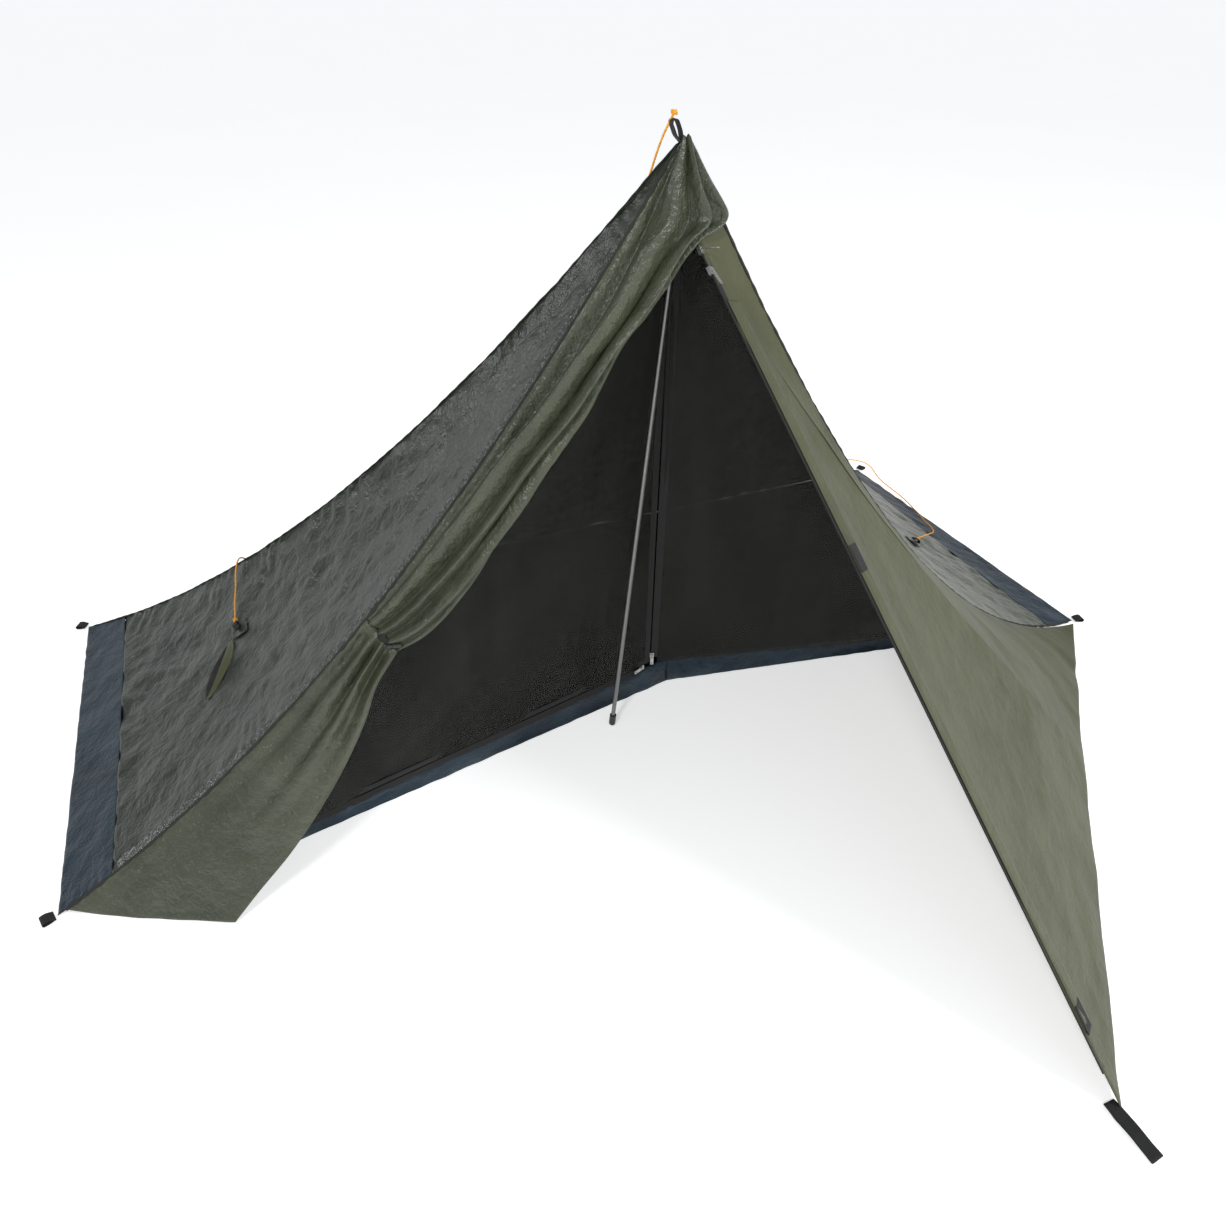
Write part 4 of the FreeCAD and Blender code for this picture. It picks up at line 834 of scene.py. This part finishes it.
# ---- guylines ----------------------------------------------------------------------------------
MM = 0.001
PEAK_ROUTE = [
    (-15, -438, 1127), (-20, -434, 1115), (-26, -425, 1096), (-31, -412, 1066),
    (-37, -396, 1025), (-40, -374, 983), (-46, -351, 940), (-50, -327, 896),
    (-57, -303, 854), (-60, -277, 808), (-66, -251, 764), (-69, -224, 719),
    (-76, -197, 676), (-79, -169, 632), (-87, -140, 588), (-92, -110, 544),
    (-101, -80, 501), (-104, -50, 460), (-112, -19, 419), (-115, 12, 380),
    (-123, 44, 342), (-130, 77, 304), (-139, 110, 268), (-142, 145, 232),
    (-149, 180, 199), (-153, 216, 166), (-163, 252, 135), (-167, 290, 105),
    (-177, 328, 78), (-181, 367, 51), (-191, 405, 28), (-203, 440, 17),
    (-222, 474, 5), (-248, 497, 4),
]
LEFT_ROUTE = [
    (-741, -37, 239), (-739, -16, 243), (-736, 18, 249), (-729, 55, 260),
    (-724, 90, 277), (-714, 124, 286), (-703, 158, 262), (-694, 194, 219),
    (-680, 230, 175), (-668, 271, 137), (-655, 311, 104), (-640, 352, 72),
    (-629, 396, 43), (-613, 436, 19), (-588, 471, 5), (-560, 491, 4),
]
RIGHT_ROUTE = [
    (855, -132, 118), (873, -120, 112), (900, -103, 99), (935, -77, 81),
    (972, -53, 64), (1008, -27, 47), (1031, 12, 38), (1042, 56, 33),
    (1066, 102, 23), (1083, 150, 15), (1102, 199, 7), (1113, 252, 4),
    (1116, 306, 3), (1121, 360, 3), (1134, 402, 3), (1149, 441, 3),
    (1149, 482, 3), (1120, 513, 3), (1076, 526, 3), (1024, 522, 3),
    (968, 529, 3), (914, 522, 4),
]
CORD_WIDTH = 0.003
TURN_POINTS = 14
# Mid-radius and height of each turn in a coil, in millimetres.
TURNS_FIVE = [(17, 1.8), (20, 1.8), (14, 2.0), (15.5, 4.6), (18.5, 4.6)]
TURNS_EIGHT = [(17, 1.8), (20, 1.8), (14, 2.0), (13.5, 5.0), (16.5, 4.8), (19.5, 4.8), (18, 7.6), (15, 7.6)]


def coil_turns(entry, centre, way, turns):
    """Control points for the turns: on from the route's last point, round the centre."""
    begin = math.atan2(entry[1] - centre[1], entry[0] - centre[0])
    points = []
    for k in range(1, TURN_POINTS * len(turns)):
        at = k / TURN_POINTS
        low = min(int(at), len(turns) - 1)
        high = min(low + 1, len(turns) - 1)
        blend = float(smooth(np.array((at - low - 0.75) / 0.25)))
        radius = turns[low][0] * (1 - blend) + turns[high][0] * blend
        height = turns[low][1] * (1 - blend) + turns[high][1] * blend
        angle = begin + way * at * 2 * math.pi
        points.append((centre[0] + radius * math.cos(angle), centre[1] + radius * math.sin(angle), height))
    return points


def nurbs_line(name, points, diameter):
    curve = bpy.data.curves.new(name, "CURVE")
    curve.dimensions = "3D"
    curve.bevel_depth = diameter / 2
    curve.bevel_resolution = 4
    curve.resolution_u = 6
    curve.use_fill_caps = True
    spline = curve.splines.new("NURBS")
    spline.points.add(len(points) - 1)
    for place, point in zip(spline.points, points):
        place.co = (point[0] * MM, point[1] * MM, point[2] * MM, 1)
    spline.order_u = 3
    spline.use_endpoint_u = True
    piece = bpy.data.objects.new(name, curve)
    bpy.context.scene.collection.objects.link(piece)
    return piece


def knot(name, centre, size, tilt):
    """A small overhand knot drawn tight: a three-lobed line with the cord's own thickness."""
    turn = np.linspace(0, 2 * math.pi, 40)[:-1]
    flat = np.stack(
        [np.sin(turn) + 2 * np.sin(2 * turn), np.cos(turn) - 2 * np.cos(2 * turn), -np.sin(3 * turn)], 1)
    axis, side, out = frame_of(tilt, (0.3, 0.9, 0.2))
    shape = centre + (flat[:, :1] * side + flat[:, 1:2] * out + flat[:, 2:] * axis * 1.4) * size
    points = [tuple(row / MM) for row in shape]
    piece = nurbs_line(name, points + points[:2], CORD_WIDTH)
    piece.data.splines[0].use_cyclic_u = False
    return to_mesh(piece)


def to_mesh(piece):
    bpy.context.view_layer.update()
    evaluated = piece.evaluated_get(bpy.context.evaluated_depsgraph_get())
    mesh = bpy.data.meshes.new_from_object(evaluated)
    name = piece.name
    old = piece.data
    bpy.data.objects.remove(piece)
    bpy.data.curves.remove(old)
    made = bpy.data.objects.new(name, mesh)
    bpy.context.scene.collection.objects.link(made)
    mesh.polygons.foreach_set("use_smooth", [True] * len(mesh.polygons))
    return made


for side, route, centre, way, turns, length in (
    ("peak", PEAK_ROUTE, (-237, 510), -1, TURNS_FIVE, 2.03),
    ("left", LEFT_ROUTE, (-570, 505), 1, TURNS_EIGHT, 1.5),
    ("right", RIGHT_ROUTE, (916, 505), 1, TURNS_FIVE, 1.49),
):
    points = route + coil_turns(route[-1], centre, way, turns)
    guyline = nurbs_line(side + "_guyline_cord", points, CORD_WIDTH)
    dress(guyline, CORD, "orange_cord", "tent", side + "_guyline", side + "_guyline_coil")
    first = np.array(route[0]) * MM
    start_knot = knot(side + "_guyline_knot", first, 0.0013, (0.2, 0.2, 1))
    end_knot = knot(side + "_guyline_end_knot", np.array(points[-1]) * MM + [0, 0, 0.003], 0.0009, (0, 0, 1))
    for piece in (start_knot, end_knot):
        dress(piece, CORD, "orange_cord", "tent")

# ---- carried-over hard pieces ------------------------------------------------------------------
CAD_FINISH = {
    "pole_cup": PLASTIC, "pole_foot_cap": PLASTIC, "pole_top_tip": PLASTIC, "tie_toggle": PLASTIC,
    "pole_sections": POLE_METAL, "pole_ferrules": POLE_METAL, "pole_shock_cord": SHOCK,
    "hook_patches": BLACK_WEB, "outer_zip": ZIP_TAPE, "mesh_zip_vertical": ZIP_TAPE, "mesh_zip_sill": ZIP_TAPE,
    "mesh_door_zip": ZIP_TAPE,
}
for node_name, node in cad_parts.items():
    finish = CAD_FINISH.get(node_name)
    if node_name.endswith(("_slider", "_pull")):
        finish = ZIP_METAL
    if finish:
        node.data.materials.clear()
        node.data.materials.append(finish)

# ---- floor, light and camera -------------------------------------------------------------------
floor_material, floor_tree, floor_shader = new_material("studio_floor")
cloud = texture(floor_tree, "ShaderNodeTexNoise", 0.8, Detail=2.0)
floor_tree.links.new(
    ramp(floor_tree, cloud.outputs["Fac"], [(0.3, (0.90,)), (0.7, (0.92,))]), floor_shader.inputs["Base Color"])
floor_shader.inputs["Roughness"].default_value = 0.9
floor_shader.inputs["Emission Color"].default_value = (1, 1, 1, 1)
floor_shader.inputs["Emission Strength"].default_value = 0.5
bpy.ops.mesh.primitive_plane_add(size=2000, location=(0, 0, -0.0006))
ground = bpy.context.object
ground.name = "studio_ground"
ground.data.materials.append(floor_material)

world = bpy.data.worlds.new("studio")
bpy.context.scene.world = world
world.use_nodes = True
world.node_tree.nodes["Background"].inputs[0].default_value = (0.93, 0.96, 1.0, 1)
world.node_tree.nodes["Background"].inputs[1].default_value = 0.5


def area_light(name, place, target, size, power):
    light = bpy.data.lights.new(name, "AREA")
    light.shape = "RECTANGLE"
    light.size, light.size_y = size
    light.energy = power
    lamp = bpy.data.objects.new(name, light)
    bpy.context.scene.collection.objects.link(lamp)
    lamp.location = place
    lamp.rotation_euler = (Vector(target) - Vector(place)).to_track_quat("-Z", "Y").to_euler()


area_light("key", (2.6, -3.2, 3.4), (0, -0.2, 0.4), (1.2, 1.2), 110)
area_light("glint", (-2.2, 2.6, 1.9), (-0.4, -0.2, 0.5), (0.5, 0.5), 13)
area_light("front", (-1.9, -2.6, 2.9), (-0.2, -0.4, 0.6), (0.45, 0.45), 45)

camera = bpy.data.cameras.new("camera")
camera.sensor_width = 36
camera.lens = 26.4
view = bpy.data.objects.new("camera", camera)
bpy.context.scene.collection.objects.link(view)
view.location = (-0.603, -1.649, 1.270)
pitch = math.radians(35.2)
heading = Vector((0.382 * math.cos(pitch), 0.924 * math.cos(pitch), -math.sin(pitch)))
view.rotation_euler = heading.to_track_quat("-Z", "Y").to_euler()
bpy.context.scene.camera = view
bpy.context.scene.view_settings.view_transform = "Standard"
